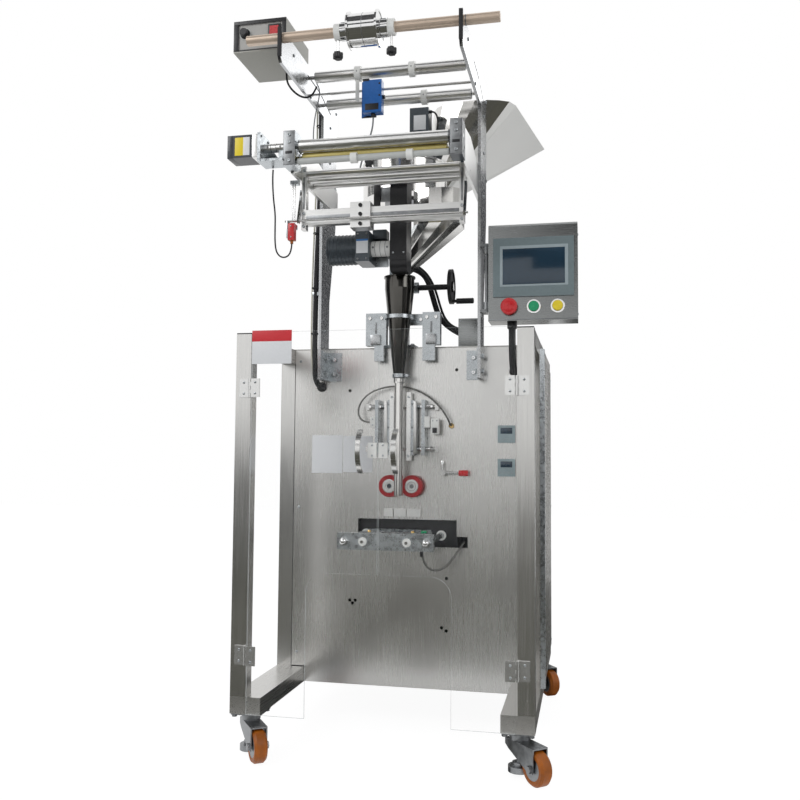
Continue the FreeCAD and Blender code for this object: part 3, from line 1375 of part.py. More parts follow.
def draw_roller(side):
    name = "draw_roller_left" if side < 0 else "draw_roller_right"
    zero = 0 * s.post
    rear = s.panel_front - 8
    front = rear - s.draw_width
    shaft_end = s.panel_front + s.post - s.seat
    profile = [(zero, 4 + zero), (s.draw_hub_radius - 8, 4 + zero), (s.draw_hub_radius - 7, zero), (s.draw_hub_radius, zero),
               (s.draw_hub_radius, 1 + zero), (s.draw_radius - 2, 1 + zero), (s.draw_radius, 3 + zero),
               (s.draw_radius, s.draw_width - 2), (s.draw_radius - 2, s.draw_width),
               (s.draw_shaft_radius, s.draw_width), (s.draw_shaft_radius, shaft_end - front), (zero, shaft_end - front)]
    return node(name, turned("Y", front, (s.film_x + side * s.draw_half, s.draw_z), profile))


def front_jaw():
    """Pressure bar, heated block and the guide rods that pull them to the panel."""
    zero = 0 * s.post
    z = (s.jaw_z - s.jaw_bar_height / 2, s.jaw_z + s.jaw_bar_height / 2)
    bar = box((s.film_x - s.jaw_half, s.film_x + s.jaw_half), (s.jaw_front_y, s.jaw_front_y + s.jaw_bar), z)
    block = box((s.film_x - s.jaw_block_half, s.film_x + s.jaw_block_half),
                (s.jaw_block_y, s.jaw_block_y + s.jaw_block_depth),
                (s.jaw_z - s.jaw_block_height / 2, s.jaw_z + s.jaw_block_height / 2))
    pieces = [bar, block]
    for side in (-1, 1):
        x = s.film_x + side * s.jaw_rod_half
        pieces.append(rod("Y", (s.jaw_front_y - 10, s.panel_back + s.post * 2), (x, s.jaw_z), s.jaw_rod_radius))
        pieces.append(hexagon("Y", (s.jaw_front_y - 6, s.jaw_front_y), (x, s.jaw_z), s.jaw_rod_radius + 4))
        x = s.film_x + side * s.jaw_bolt_half
        pieces.append(rod("Y", (s.jaw_front_y - 12, s.jaw_block_y), (x, s.jaw_z), 4 + zero))
        pieces.append(rod("Y", (s.jaw_front_y - 4, s.jaw_front_y), (x, s.jaw_z), 11 + zero))
        pieces.append(rod("Y", (s.jaw_front_y + s.jaw_bar, s.jaw_block_y), (x, s.jaw_z), 8 + zero))
    return node("front_jaw", fuse(*pieces))


def rear_jaw():
    """Cold jaw behind the film, on two push rods."""
    half_z = s.jaw_block_height / 2
    block = box((s.film_x - s.jaw_block_half, s.film_x + s.jaw_block_half),
                (s.rear_jaw_y, s.rear_jaw_y + s.rear_jaw_depth), (s.jaw_z - half_z, s.jaw_z + half_z))
    pieces = [block]
    for side in (-1, 1):
        pieces.append(rod("Y", (s.rear_jaw_y + s.rear_jaw_depth, s.panel_back + s.post * 2),
                          (s.film_x + side * s.jaw_bolt_half, s.jaw_z), s.jaw_rod_radius))
    return node("rear_jaw", fuse(*pieces))


def sealing_guides():
    """Rods for the lengthwise sealer, and the guide block of the jaws behind the panel."""
    plate_z = (s.seal_low + 15, s.seal_high - 21)
    reach = s.seal_open + s.seal_bar + 74
    pieces = []
    for z in (plate_z[0] + 18, plate_z[1] - 18):
        bar = rod("X", (s.film_x - reach, s.film_x + reach), (s.seal_rod_y, z), s.seal_rod_radius)
        ends = [box(from_film(side, reach - 10, reach), (s.seal_rod_y - 7.5, s.panel_front), (z - 9, z + 9))
                for side in (-1, 1)]
        pieces.append(fuse(bar, *ends))
    near = s.panel_back + 17
    block = box((s.film_x - s.jaw_half, s.film_x + s.jaw_half), (near, near + 30), (s.slot_low - 14, s.slot_high + 14))
    holes = []
    for offset in (s.jaw_rod_half, s.jaw_bolt_half):
        for side in (-1, 1):
            holes.append(rod("Y", (near - 1, near + 31), (s.film_x + side * offset, s.jaw_z),
                             s.jaw_rod_radius + s.running))
    feet = [box((s.film_x - s.jaw_half, s.film_x + s.jaw_half), (s.panel_back, near), z)
            for z in ((s.slot_low - 14, s.slot_low - 4), (s.slot_high + 4, s.slot_high + 14))]
    pieces.append(cut(fuse(block, *feet), *holes))
    left = s.film_x - s.rest_reach
    low = s.slot_high + s.rest_clearance
    for width in (s.rest_left, s.rest_middle, s.rest_right):
        y = (s.panel_front - s.rest_depth, s.panel_front)
        pieces.append(box((left, left + width), y, (low, low + s.rest_height)))
        left = left + width + s.rest_gap
    return node("sealing_guides", *pieces)


def drive_unit():
    """Gear case of the draw rollers and the main motor on the cabinet floor."""
    front = s.panel_front + s.post
    low = s.draw_z - s.drive_case_below
    case = box((s.film_x - s.drive_case_half, s.film_x + s.drive_case_half), (front, front + s.drive_case_depth),
               (low, s.draw_z + s.drive_case_above))
    floor = s.rail_base + s.cover_sheet
    top = s.jaw_z - s.drive_stand_drop
    rear = front + s.drive_stand_rear
    stand = box((s.film_x - s.drive_stand_half, s.film_x + s.drive_stand_half), (front + s.drive_stand_front, rear),
                (floor, top))
    link = box((s.film_x - s.drive_link_half, s.film_x + s.drive_link_half), (rear - s.drive_link_depth, rear),
               (top, low))
    centre = (front + s.drive_motor_back, floor + s.drive_motor_rise)
    span = (s.film_x - s.drive_motor_left, s.film_x + s.drive_motor_right)
    motor = rod("X", span, centre, s.drive_motor_radius)
    base = box((span[0] + s.drive_motor_inset, span[1] - s.drive_motor_inset),
               (centre[0] - s.drive_base_half, centre[0] + s.drive_base_half), (floor, floor + s.drive_base_height))
    return node("drive_unit", case, stand, link, fuse(motor, base))


def roller_lever():
    """Lever with a red grip that opens the draw rollers."""
    zero = 0 * s.post
    centre = (s.lever_x, s.lever_z)
    shaft = rod("Y", (s.panel_front - 26, s.panel_front + s.post), centre, s.stem_radius)
    hub = rod("Y", (s.panel_front - 30, s.panel_front - 12), centre, 9 + zero)
    arm = rod("X", (s.lever_x + 6, s.lever_x + s.lever_length - 24), (s.panel_front - 21, s.lever_z), 4 + zero)
    grip = rod("X", (s.lever_x + s.lever_length - 26, s.lever_x + s.lever_length), (s.panel_front - 21, s.lever_z), 8 + zero)
    return node("roller_lever", fuse(shaft, hub, arm, grip))


def temperature_controllers():
    pieces = []
    half = s.meter_square / 2
    for z in (s.meter_high_z, s.meter_low_z):
        bezel = box((s.meter_x - half, s.meter_x + half), (s.panel_front - 6, s.panel_front), (z - half, z + half))
        inner = half - 2
        case = box((s.meter_x - inner, s.meter_x + inner), (s.panel_front, s.panel_front + 60), (z - inner, z + inner))
        pieces.append(fuse(bezel, case))
    return node("temperature_controllers", *pieces)


# Operator's box on the right side plate


def control_box():
    y = (s.box_front_y, s.box_front_y + s.box_depth)
    top = s.box_low + s.box_height
    points = [(y[0], s.box_low), (y[1], s.box_low), (y[1], top - s.box_chamfer), (y[1] - s.box_chamfer, top),
              (y[0] + 6, top), (y[0], top - 6)]
    shell = plate("X", (s.box_left, s.box_right), points)
    shaft_holes = []
    for x, radius in button_places():
        shaft_holes.append(rod("Y", (y[0] - 1, y[0] + 14), (x, s.button_z), radius - 3 + s.running))
    shell = cut(shell, *shaft_holes)
    bezel = box((s.box_left + 13, s.box_left + 221), (y[0] - 5, y[0]), (s.box_low + 62, s.box_low + 217))
    barrels = []
    hinge = (s.box_hinge_x, s.box_hinge_y)
    for z in ((s.box_low + 42 + s.seat, s.box_low + 62), (top - 62, top - 42 - s.seat)):
        tube = rod("Z", z, hinge, 9 + 0 * s.post)
        tie = box((s.box_hinge_x + 5, s.box_left + 1), (s.box_hinge_y - 8, s.box_hinge_y + 8), z)
        barrels.append(cut(fuse(tube, tie), rod("Z", (z[0] - 1, z[1] + 1), hinge, s.box_pin_radius + s.running)))
    return node("control_box", fuse(shell, *barrels), bezel)


def button_places():
    """X place and head radius of the stop, start and reset buttons."""
    return [(s.box_left + 55, s.stop_radius), (s.box_left + 118, s.push_radius), (s.box_left + 179, s.push_radius)]


def buttons():
    zero = 0 * s.post
    names = ("stop_button", "start_button", "reset_button")
    for name, (x, radius) in zip(names, button_places()):
        head = 12 if name == "stop_button" else 5
        front = s.box_front_y - head - 5
        profile = [(zero, zero), (radius - 2, zero), (radius, 2 + zero), (radius, head + zero),
                   (radius - 3, head + zero), (radius - 3, head + 13 + zero), (zero, head + 13 + zero)]
        node(name, turned("Y", front, (x, s.button_z), profile))


# Cables: straight runs joined by tangent arcs through a short list of route points


def octagon(centre, direction, diameter):
    """Eight-sided section with the area of the round cable."""
    side = direction.cross(Vector(0.31, 0.55, 0.78))
    side.normalize()
    up = direction.cross(side)
    up.normalize()
    reach = diameter / 2 * math.sqrt(math.pi / (4 * math.sin(math.pi / 4)))
    corners = []
    for index in range(8):
        angle = math.radians(45 * index + 22.5)
        corners.append(centre + side * (reach * math.cos(angle)) + up * (reach * math.sin(angle)))
    return Part.makePolygon(corners + [corners[0]])


def cable(name, points, diameter):
    """A round cable along a route; prints its length and its smallest bend."""
    route = [Vector(*[float(value) for value in point]) for point in points]
    edges = []
    start = route[0]
    tightest = 1e9
    length = 0.0
    for index in range(1, len(route) - 1):
        before, corner, after = route[index - 1], route[index], route[index + 1]
        into, out = (corner - before), (after - corner)
        shorter = min(into.Length, out.Length)
        into.normalize()
        out.normalize()
        half_turn = into.getAngle(out) / 2
        setback = 0.45 * shorter
        radius = setback / math.tan(half_turn)
        first, last = corner - into * setback, corner + out * setback
        bulge = (out - into)
        bulge.normalize()
        middle = corner + bulge * (radius / math.cos(half_turn) - radius)
        edges.append(Part.LineSegment(start, first).toShape())
        edges.append(Part.Arc(first, middle, last).toShape())
        start = last
        tightest = min(tightest, radius)
    edges.append(Part.LineSegment(start, route[-1]).toShape())
    wire = Part.Wire(edges)
    direction = route[1] - route[0]
    tube = wire.makePipeShell([octagon(route[0], direction, diameter)], True, False)
    length = wire.Length
    expected = math.pi * diameter ** 2 / 4 * length
    if abs(tube.Volume / expected - 1) > 0.01:
        raise RuntimeError("%s has the wrong volume" % name)
    print("%s length %.0f mm, smallest radius %.1f mm (%.1f diameters)" % (name, length, tightest, tightest / diameter))
    return tube


def cables():
    """The free leads of the moving sealer, the jaw and the dancer switch."""
    front = float(s.seal_back_y - s.seal_depth)
    block_x = float(s.film_x - (s.seal_open + s.seal_bar + 3 + 28 + 24))
    block_z = float(s.seal_low) + 107
    panel = float(s.panel_front)
    end_x, end_z = float(s.conduit_x), float(s.conduit_z)
    arc = [(block_x - 0.3, front, block_z), (block_x - 22, front, block_z),
           (block_x - 38, front + 1, block_z + 24), (block_x - 30, front + 2, block_z + 58),
           (block_x + 2, front + 5, block_z + 88), (block_x + 56, front + 7, block_z + 102),
           (block_x + 112, front + 7, block_z + 98), (block_x + 164, front + 5, block_z + 74),
           (block_x + 200, front + 1, block_z + 40), (end_x - 4, front + 4, block_z + 8),
           (end_x, front + 17, end_z + 1), (end_x, panel + 1, end_z + 1)]
    node("sealer_conduit", feature(cable("sealer_conduit", arc, 2 * float(s.conduit_radius))))
    jaw_x = float(s.film_x + s.jaw_block_half) - 10
    jaw_y = float(s.jaw_block_y + s.jaw_block_depth) - 10
    jaw_low = float(s.jaw_z - s.jaw_block_height / 2)
    hole_x = float(s.slot_half + s.cable_cut_reach) - 10
    hole_z = float(s.slot_low + s.cable_cut_height / 2)
    loop = [(jaw_x, jaw_y, jaw_low - 0.3), (jaw_x + 1, jaw_y, jaw_low - 20), (jaw_x + 6, jaw_y + 4, jaw_low - 44),
            (jaw_x + 20, jaw_y + 12, jaw_low - 62), (jaw_x + 42, jaw_y + 28, jaw_low - 66),
            (jaw_x + 62, jaw_y + 46, jaw_low - 54), (jaw_x + 76, jaw_y + 62, jaw_low - 34),
            (hole_x - 3, panel - 34, hole_z - 8), (hole_x, panel - 14, hole_z - 1), (hole_x, panel + 6, hole_z)]
    node("jaw_cable", feature(cable("jaw_cable", loop, 6.0)))
    top = float(s.dancer_rod_z - s.dancer_rod_radius) - 4
    low = top - float(s.switch_height) - 8
    x, y = float(s.switch_x), float(s.dancer_rod_y)
    motor_low = float(s.feed_z - s.motor_square / 2) - 12
    lead = [(x, y, low - 0.3), (x - 1, y, low - 18), (x - 10, y - 1, low - 34), (x - 27, y - 3, low - 36),
            (x - 40, y - 5, low - 22), (x - 43, y - 8, low + 4), (x - 41, y - 14, low + 38),
            (x - 38, y - 22, low + 74), (x - 41, y - 30, low + 112), (x - 42, y - 36, motor_low - 24),
            (x - 40, y - 38, motor_low - 0.3)]
    node("switch_lead", feature(cable("switch_lead", lead, 4.0)))


def wiring():
    """Leads that the machine holds all the way: the loom on the left plate and the box's conduit."""
    x = float(s.left_plate - s.arm_sheet) - 12
    front = float(s.leg_front_y)
    panel = float(s.panel_front)
    loom = [(x, 300, 1770), (x, 306, 1610), (x, 295, 1450), (x, 278, 1290), (x - 2, 278, 1150),
            (x - 4, 284, 1050), (x - 4, 288, 995), (x - 4, 288, 974), (x - 2, 298.5, 955.7),
            (x + 1, 316.7, 945), (x + 1, panel, 945)]
    box_x = float(s.box_left) + 58
    rear = float(s.box_front_y + s.box_depth) - 25
    drop = float(s.box_low)
    run = (panel - rear) / 2.366
    floor = drop - 118
    hose = [(box_x, rear, drop), (box_x, rear, floor + run * 1.366), (box_x - 1, rear + run * 0.5, floor + run * 0.5),
            (box_x - 2, rear + run * 1.366, floor), (box_x - 2, panel, floor)]
    node("wiring", feature(cable("loom", loom, 15.0)), feature(cable("box conduit", hose, 18.0)))


main_frame()
front_panel()
cabinet_covers()
frame_fittings()
for castor_row in castor_places():
    castor(*castor_row)
door(-1)
door(1)
arm_plates()
reel()
rollers()
film_subframe()
dancer()
feed_motor()
sensors()
aux_case()
filling_funnel()
metering_stand()
hopper()
metering_drum()
metering_disc()
metering_motors()
hand_crank()
sealer(-1)
sealer(1)
draw_roller(-1)
draw_roller(1)
front_jaw()
rear_jaw()
sealing_guides()
drive_unit()
roller_lever()
temperature_controllers()
control_box()
buttons()
cables()
wiring()
doc.recompute()

# Nothing is written unless every object is sound

for thing in doc.Objects:
    if "Invalid" in thing.State or "Error" in thing.State:
        raise RuntimeError("%s failed: %s" % (thing.Label, thing.State))
for name, thing in nodes.items():
    if thing.Shape.isNull() or not thing.Shape.isValid():
        raise RuntimeError("%s has no valid shape" % name)

os.makedirs("parts", exist_ok=True)
for name, thing in nodes.items():
    thing.Shape.exportStep("parts/%s.step" % name)
print("%d sub-parts written" % len(nodes))
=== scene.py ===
"""Looks of the packaging machine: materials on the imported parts, and the small pieces that dress them.

Everything is in metres in the model's own frame. Places are often written in millimetres from the machine's
frame (x = 0 in the middle, y = 0 at the front face of the posts) and shifted by at().
"""
import math
import bmesh
import bpy
from mathutils import Matrix, Vector


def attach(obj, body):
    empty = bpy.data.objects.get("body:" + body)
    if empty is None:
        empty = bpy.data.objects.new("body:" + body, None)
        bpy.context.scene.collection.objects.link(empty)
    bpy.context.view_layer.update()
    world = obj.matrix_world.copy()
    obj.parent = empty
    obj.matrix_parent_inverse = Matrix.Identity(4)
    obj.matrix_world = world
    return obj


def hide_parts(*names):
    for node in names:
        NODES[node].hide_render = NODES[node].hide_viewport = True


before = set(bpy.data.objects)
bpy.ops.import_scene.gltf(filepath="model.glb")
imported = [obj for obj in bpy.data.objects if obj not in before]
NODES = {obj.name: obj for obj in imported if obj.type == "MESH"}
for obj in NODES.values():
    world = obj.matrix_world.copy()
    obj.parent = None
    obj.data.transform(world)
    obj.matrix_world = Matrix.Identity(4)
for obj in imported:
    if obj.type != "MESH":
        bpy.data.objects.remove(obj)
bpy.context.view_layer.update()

# The machine frame's middle and front, in the model's frame, in millimetres

MIDDLE_X = 46.0
FRONT_Y = 375.0
FILM_X = -13.0
SHAFT_Y, SHAFT_Z = -78.0, 1781.0
UPPER_FRONT, UPPER_REAR = (136, 1772), (250, 1742)
GEAR = (196, 1307)
SEALER_RODS_Z = (768, 886)
BUTTONS_Z = 1137


def at(x, y, z):
    """A point given in millimetres from the machine's frame, in metres in the model's frame."""
    return Vector(((x - MIDDLE_X) / 1000, (y - FRONT_Y) / 1000, z / 1000))


# Materials. A grain is even, or drawn out along one axis as on brushed metal.

EVEN = (1, 1, 1)
ALONG_X, ALONG_Y, ALONG_Z = (1, 60, 60), (60, 1, 60), (60, 60, 1)
PLAIN_IOR = 1.45


def new_material(name):
    material = bpy.data.materials.new(name)
    material.use_nodes = True
    tree = material.node_tree
    shader = tree.nodes["Principled BSDF"]
    return material, tree, shader


def noise(tree, scale, stretch=EVEN, detail=4.0, rough=0.55):
    """A noise texture in the model's own coordinates, stretched along the axes."""
    place = tree.nodes.new("ShaderNodeTexCoord")
    mapping = tree.nodes.new("ShaderNodeMapping")
    mapping.inputs["Scale"].default_value = stretch
    texture = tree.nodes.new("ShaderNodeTexNoise")
    texture.inputs["Scale"].default_value = scale
    texture.inputs["Detail"].default_value = detail
    texture.inputs["Roughness"].default_value = rough
    tree.links.new(place.outputs["Object"], mapping.inputs["Vector"])
    tree.links.new(mapping.outputs["Vector"], texture.inputs["Vector"])
    return texture.outputs["Fac"]


def ramp(tree, factor, low, high, start=0.3, end=0.7):
    """A colour or grey ramp driven by a factor."""
    node = tree.nodes.new("ShaderNodeValToRGB")
    node.color_ramp.elements[0].position = start
    node.color_ramp.elements[1].position = end
    for element, value in zip(node.color_ramp.elements, (low, high)):
        element.color = (*value, 1) if isinstance(value, (tuple, list)) else (value, value, value, 1)
    tree.links.new(factor, node.inputs["Fac"])
    return node.outputs["Color"]


def bump(tree, shader, factor, strength, distance):
    node = tree.nodes.new("ShaderNodeBump")
    node.inputs["Strength"].default_value = strength
    node.inputs["Distance"].default_value = distance
    tree.links.new(factor, node.inputs["Height"])
    tree.links.new(node.outputs["Normal"], shader.inputs["Normal"])


def scaled(colour, factor):
    return tuple(min(1.0, channel * factor) for channel in colour)


def surface(name, colour, rough, metallic=0.0, grain=60.0, stretch=EVEN, spread=0.08, rough_spread=0.06,
            relief=0.05, depth=0.0002, coat=0.0, clouds=0.0, cloud_scale=3.0):
    """A surface whose tone, roughness and relief all vary a little, from one fine grain and one broad cloud."""
    material, tree, shader = new_material(name)
    shader.inputs["Metallic"].default_value = metallic
    shader.inputs["IOR"].default_value = PLAIN_IOR
    if coat:
        shader.inputs["Coat Weight"].default_value = coat
        shader.inputs["Coat Roughness"].default_value = 0.08
    fine = noise(tree, grain, stretch)
    tone = ramp(tree, fine, scaled(colour, 1 - spread), scaled(colour, 1 + spread))
    rough_value = ramp(tree, fine, max(0.02, rough - rough_spread), rough + rough_spread)
    if clouds:
        cloud = noise(tree, cloud_scale, EVEN, 2.0, 0.5)
        shade = ramp(tree, cloud, 1 - clouds, 1.0, 0.35, 0.65)
        mix = tree.nodes.new("ShaderNodeMix")
        mix.data_type = "RGBA"
        mix.blend_type = "MULTIPLY"
        mix.inputs["Factor"].default_value = 1.0
        tree.links.new(tone, mix.inputs["A"])
        tree.links.new(shade, mix.inputs["B"])
        tone = mix.outputs["Result"]
        wipe = ramp(tree, cloud, 0.0, 0.05, 0.3, 0.7)
        add = tree.nodes.new("ShaderNodeMath")
        tree.links.new(rough_value, add.inputs[0])
        tree.links.new(wipe, add.inputs[1])
        rough_value = add.outputs["Value"]
    tree.links.new(tone, shader.inputs["Base Color"])
    tree.links.new(rough_value, shader.inputs["Roughness"])
    bump(tree, shader, fine, relief, depth)
    return material


MATS = {}


def finish(name, *values, **extra):
    MATS[name] = surface(name, *values, **extra)


finish("frame_steel", (0.70, 0.695, 0.68), 0.20, 1.0, 9, ALONG_Z, 0.08, 0.03, 0.03, clouds=0.10)
finish("rail_steel", (0.62, 0.61, 0.59), 0.28, 1.0, 9, ALONG_Y, 0.10, 0.05, 0.08, clouds=0.12)
finish("panel_steel", (0.74, 0.735, 0.72), 0.24, 1.0, 8, ALONG_Z, 0.03, 0.02, 0.01, clouds=0.14, cloud_scale=4.0)
finish("cover_steel", (0.48, 0.475, 0.455), 0.24, 1.0, 9, ALONG_Y, 0.04, 0.03, 0.02, clouds=0.08)
finish("box_steel", (0.29, 0.30, 0.30), 0.22, 1.0, 12, ALONG_X, 0.07, 0.05, 0.06, clouds=0.08)
finish("stainless", (0.66, 0.66, 0.65), 0.24, 1.0, 14, ALONG_X, 0.07, 0.05, 0.05)
finish("polished", (0.78, 0.77, 0.75), 0.10, 1.0, 6, ALONG_Z, 0.05, 0.03, 0.02, clouds=0.10)
# Polished steel for the funnel's upper cone, with painted shade: its very dark base colour is a painted
# reflection of the dark surroundings that the polished metal reflects.
finish("funnel_painted_dark_reflection", (0.11, 0.106, 0.098), 0.10, 1.0, 6, ALONG_Z, 0.05, 0.03, 0.02, clouds=0.20, cloud_scale=9)
finish("chrome", (0.80, 0.80, 0.80), 0.08, 1.0, 20, ALONG_X, 0.03, 0.02, 0.02)
finish("roller", (0.92, 0.92, 0.91), 0.30, 1.0, 10, (1, 24, 24), 0.05, 0.04, 0.03)
finish("aluminium", (0.76, 0.76, 0.75), 0.33, 1.0, 16, ALONG_X, 0.06, 0.05, 0.05)
finish("zinc", (0.50, 0.53, 0.55), 0.26, 1.0, 90, EVEN, 0.16, 0.08, 0.12, clouds=0.12, cloud_scale=16)
finish("zinc_dark", (0.30, 0.31, 0.32), 0.38, 1.0, 80, EVEN, 0.18, 0.08, 0.15, clouds=0.15, cloud_scale=20)
finish("plate_white", (0.48, 0.49, 0.50), 0.24, 0.95, 120, EVEN, 0.05, 0.05, 0.08, clouds=0.06)
finish("pale_shaft", (0.66, 0.53, 0.42), 0.30, 0.45, 6, (1, 24, 24), 0.06, 0.05, 0.03)
finish("gold", (0.50, 0.42, 0.16), 0.30, 0.75, 10, (1, 24, 24), 0.07, 0.05, 0.03)
finish("brass", (0.72, 0.50, 0.20), 0.25, 1.0, 60, EVEN, 0.08, 0.05, 0.05)
finish("grey_plastic", (0.50, 0.51, 0.49), 0.42, 0.0, 60, EVEN, 0.05, 0.05, 0.06)
finish("white_plastic", (0.78, 0.78, 0.75), 0.38, 0.0, 90, EVEN, 0.03, 0.05, 0.05)
finish("black_plastic", (0.018, 0.018, 0.020), 0.38, 0.0, 220, EVEN, 0.25, 0.06, 0.12)
finish("rubber_black", (0.020, 0.020, 0.022), 0.62, 0.0, 180, EVEN, 0.2, 0.06, 0.12)
finish("cable_grey", (0.22, 0.23, 0.24), 0.5, 0.0, 180, EVEN, 0.1, 0.06, 0.08)
finish("motor_dark", (0.030, 0.034, 0.040), 0.36, 0.2, 260, EVEN, 0.25, 0.08, 0.2, coat=0.2)
finish("slate", (0.055, 0.068, 0.080), 0.34, 0.2, 240, EVEN, 0.15, 0.06, 0.15, coat=0.2)
finish("case_grey", (0.34, 0.335, 0.30), 0.45, 0.15, 420, EVEN, 0.10, 0.08, 0.35, 0.0003)
finish("sensor_blue", (0.010, 0.12, 0.42), 0.34, 0.0, 160, EVEN, 0.07, 0.05, 0.06, coat=0.2)
finish("red_plastic", (0.55, 0.015, 0.02), 0.28, 0.0, 120, EVEN, 0.06, 0.05, 0.03, coat=0.3)
finish("red_rubber", (0.38, 0.010, 0.014), 0.52, 0.0, 150, EVEN, 0.10, 0.07, 0.12)
finish("green_plastic", (0.0, 0.30, 0.12), 0.25, 0.0, 120, EVEN, 0.06, 0.05, 0.03, coat=0.3)
finish("yellow_plastic", (0.80, 0.62, 0.02), 0.25, 0.0, 120, EVEN, 0.05, 0.05, 0.03, coat=0.3)
finish("orange_tyre", (0.40, 0.105, 0.004), 0.44, 0.0, 90, EVEN, 0.12, 0.07, 0.06, clouds=0.25, cloud_scale=40)
finish("label_white", (0.74, 0.75, 0.76), 0.40, 0.0, 200, EVEN, 0.02, 0.03, 0.03)
finish("label_red", (0.62, 0.03, 0.04), 0.38, 0.0, 200, EVEN, 0.03, 0.03, 0.03)
finish("label_yellow", (0.80, 0.62, 0.02), 0.38, 0.0, 200, EVEN, 0.03, 0.03, 0.03)
finish("screen", (0.012, 0.035, 0.060), 0.16, 0.0, 6, EVEN, 0.25, 0.03, 0.0, coat=0.6)
finish("bezel_grey", (0.17, 0.215, 0.225), 0.36, 0.1, 160, EVEN, 0.05, 0.05, 0.05)
finish("meter_glass", (0.28, 0.36, 0.38), 0.20, 0.0, 30, EVEN, 0.10, 0.04, 0.0, coat=0.6)
finish("bright_bar", (0.74, 0.74, 0.73), 0.20, 0.85, 30, ALONG_Z, 0.04, 0.05, 0.04)
finish("case_pale", (0.40, 0.39, 0.37), 0.42, 0.05, 200, EVEN, 0.04, 0.05, 0.08)
finish("hopper_matt", (0.74, 0.74, 0.72), 0.40, 0.75, 12, ALONG_Z, 0.04, 0.05, 0.04, clouds=0.06)
finish("cream_lead", (0.62, 0.60, 0.50), 0.5, 0.0, 160, EVEN, 0.06, 0.05, 0.06)
finish("pale_frame", (0.34, 0.40, 0.42), 0.34, 0.1, 160, EVEN, 0.04, 0.05, 0.04)
finish("label_blue", (0.05, 0.18, 0.45), 0.38, 0.0, 200, EVEN, 0.03, 0.03, 0.03)
finish("braid", (0.20, 0.20, 0.19), 0.32, 0.9, 900, EVEN, 0.35, 0.10, 0.6, 0.0004)


def clear_sheet(name, colour, opacity, rough):
    """Clear acrylic: nearly all of the light passes, and fine scratches catch the rest."""
    material, tree, shader = new_material(name)
    shader.inputs["Roughness"].default_value = rough
    shader.inputs["IOR"].default_value = 1.49
    shader.inputs["Base Color"].default_value = (*colour, 1)
    scratch = noise(tree, 5, (40, 3, 3))
    alpha = ramp(tree, scratch, opacity * 0.7, opacity * 1.3)
    tree.links.new(alpha, shader.inputs["Alpha"])
    return material


MATS["acrylic"] = clear_sheet("acrylic", (0.86, 0.90, 0.90), 0.010, 0.05)
MATS["acrylic_edge"] = clear_sheet("acrylic_edge", (0.82, 0.86, 0.86), 0.62, 0.12)

BY_NODE = {node: finish_name for finish_name, names in {
    "frame_steel": "main_frame",
    "panel_steel": "front_panel",
    "cover_steel": "cabinet_covers",
    "chrome": "frame_fittings reel_chuck dancer left_door_fittings right_door_fittings",
    "plate_white": "arm_plates",
    "zinc": "arm_brackets funnel_holder metering_stand sealer_left sealer_right front_jaw rear_jaw",
    "pale_shaft": "film_shaft",
    "roller": "upper_roller_front upper_roller_rear feed_roller idler_roller_1 idler_roller_2 idler_roller_3",
    "gold": "nip_roller",
    "grey_plastic": "guide_roller",
    "aluminium": "film_subframe",
    "motor_dark": "feed_motor metering_motors drive_unit",
    "sensor_blue": "film_sensors",
    "case_grey": "aux_case",
    "black_plastic": "aux_knob hand_crank temperature_controllers",
    "polished": "filling_funnel hopper metering_drum",
    "stainless": "metering_disc sealing_guides roller_lever",
    "red_rubber": "draw_roller_left draw_roller_right",
    "box_steel": "control_box",
    "red_plastic": "stop_button",
    "green_plastic": "start_button",
    "yellow_plastic": "reset_button",
    "rubber_black": "wiring switch_lead",
    "acrylic": "left_door right_door",
    "braid": "sealer_conduit jaw_cable",
}.items() for node in names.split()}
for corner in ("front_left", "front_right", "rear_left", "rear_right"):
    BY_NODE["castor_fork_" + corner] = "zinc_dark"
    BY_NODE["castor_wheel_" + corner] = "orange_tyre"

def dress(node, choose=None):
    """Give a CAD node its material, and other materials to the faces that choose() names."""
    piece = NODES[node]
    data = piece.data
    data.materials.clear()
    names = [BY_NODE[node]]
    place = piece.matrix_world.copy()
    turn = place.to_3x3()
    for polygon in data.polygons:
        name = names[0]
        if choose:
            spot = place @ polygon.center * 1000 + Vector((MIDDLE_X, FRONT_Y, 0))
            name = choose(spot, (turn @ polygon.normal).normalized()) or name
        if name not in names:
            names.append(name)
        polygon.material_index = names.index(name)
    for name in names:
        data.materials.append(MATS[name])


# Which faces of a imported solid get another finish: each test works in the machine frame's millimetres


def faces_where(material, test):
    """A chooser that gives one finish to the faces that pass a test."""
    return lambda spot, normal: material if test(spot, normal) else None


def reach_from(spot, y, z):
    """Distance of a spot from a line along X."""
    return math.hypot(spot.y - y, spot.z - z)


def chuck_face(spot, normal):
    if spot.z < SHAFT_Z - 47:
        return "black_plastic"
    if abs(abs(spot.x + 26) - 67) < 9 and spot.z > SHAFT_Z - 21:
        return "white_plastic"
    return None


def ring_face(y, z, radius):
    return lambda spot, normal: "white_plastic" if reach_from(spot, y, z) > radius + 0.8 else None


def subframe_face(spot, normal):
    if spot.y < -59 and normal.y < -0.7:
        return "zinc_dark"
    if spot.y < -9.5 and spot.z < 1600:
        return "zinc" if spot.x < 0 else "slate"
    return "chrome" if spot.z > 1700 else None


def sensor_face(spot, normal):
    if spot.x < -150:
        if spot.z <= 1301:
            return "orange_tyre"
        if spot.z < 1345:
            return "red_plastic" if spot.y < 48.6 else "zinc"
        return "chrome" if spot.z < 1449 else "zinc"
    if spot.y > 118.2:
        return "zinc_dark"
    return "black_plastic" if spot.z < 1645.5 or spot.x > -23.5 else None


def case_face(spot, normal):
    if spot.y > -36.5 and spot.y < 139 or spot.y > 139:
        return None
    if spot.y < -40.5 or math.hypot(spot.x + 298, spot.z - 1806) < 4:
        return "red_plastic"
    if spot.y < -36.9 and spot.y > -37.1:
        return "case_pale"
    return "black_plastic"


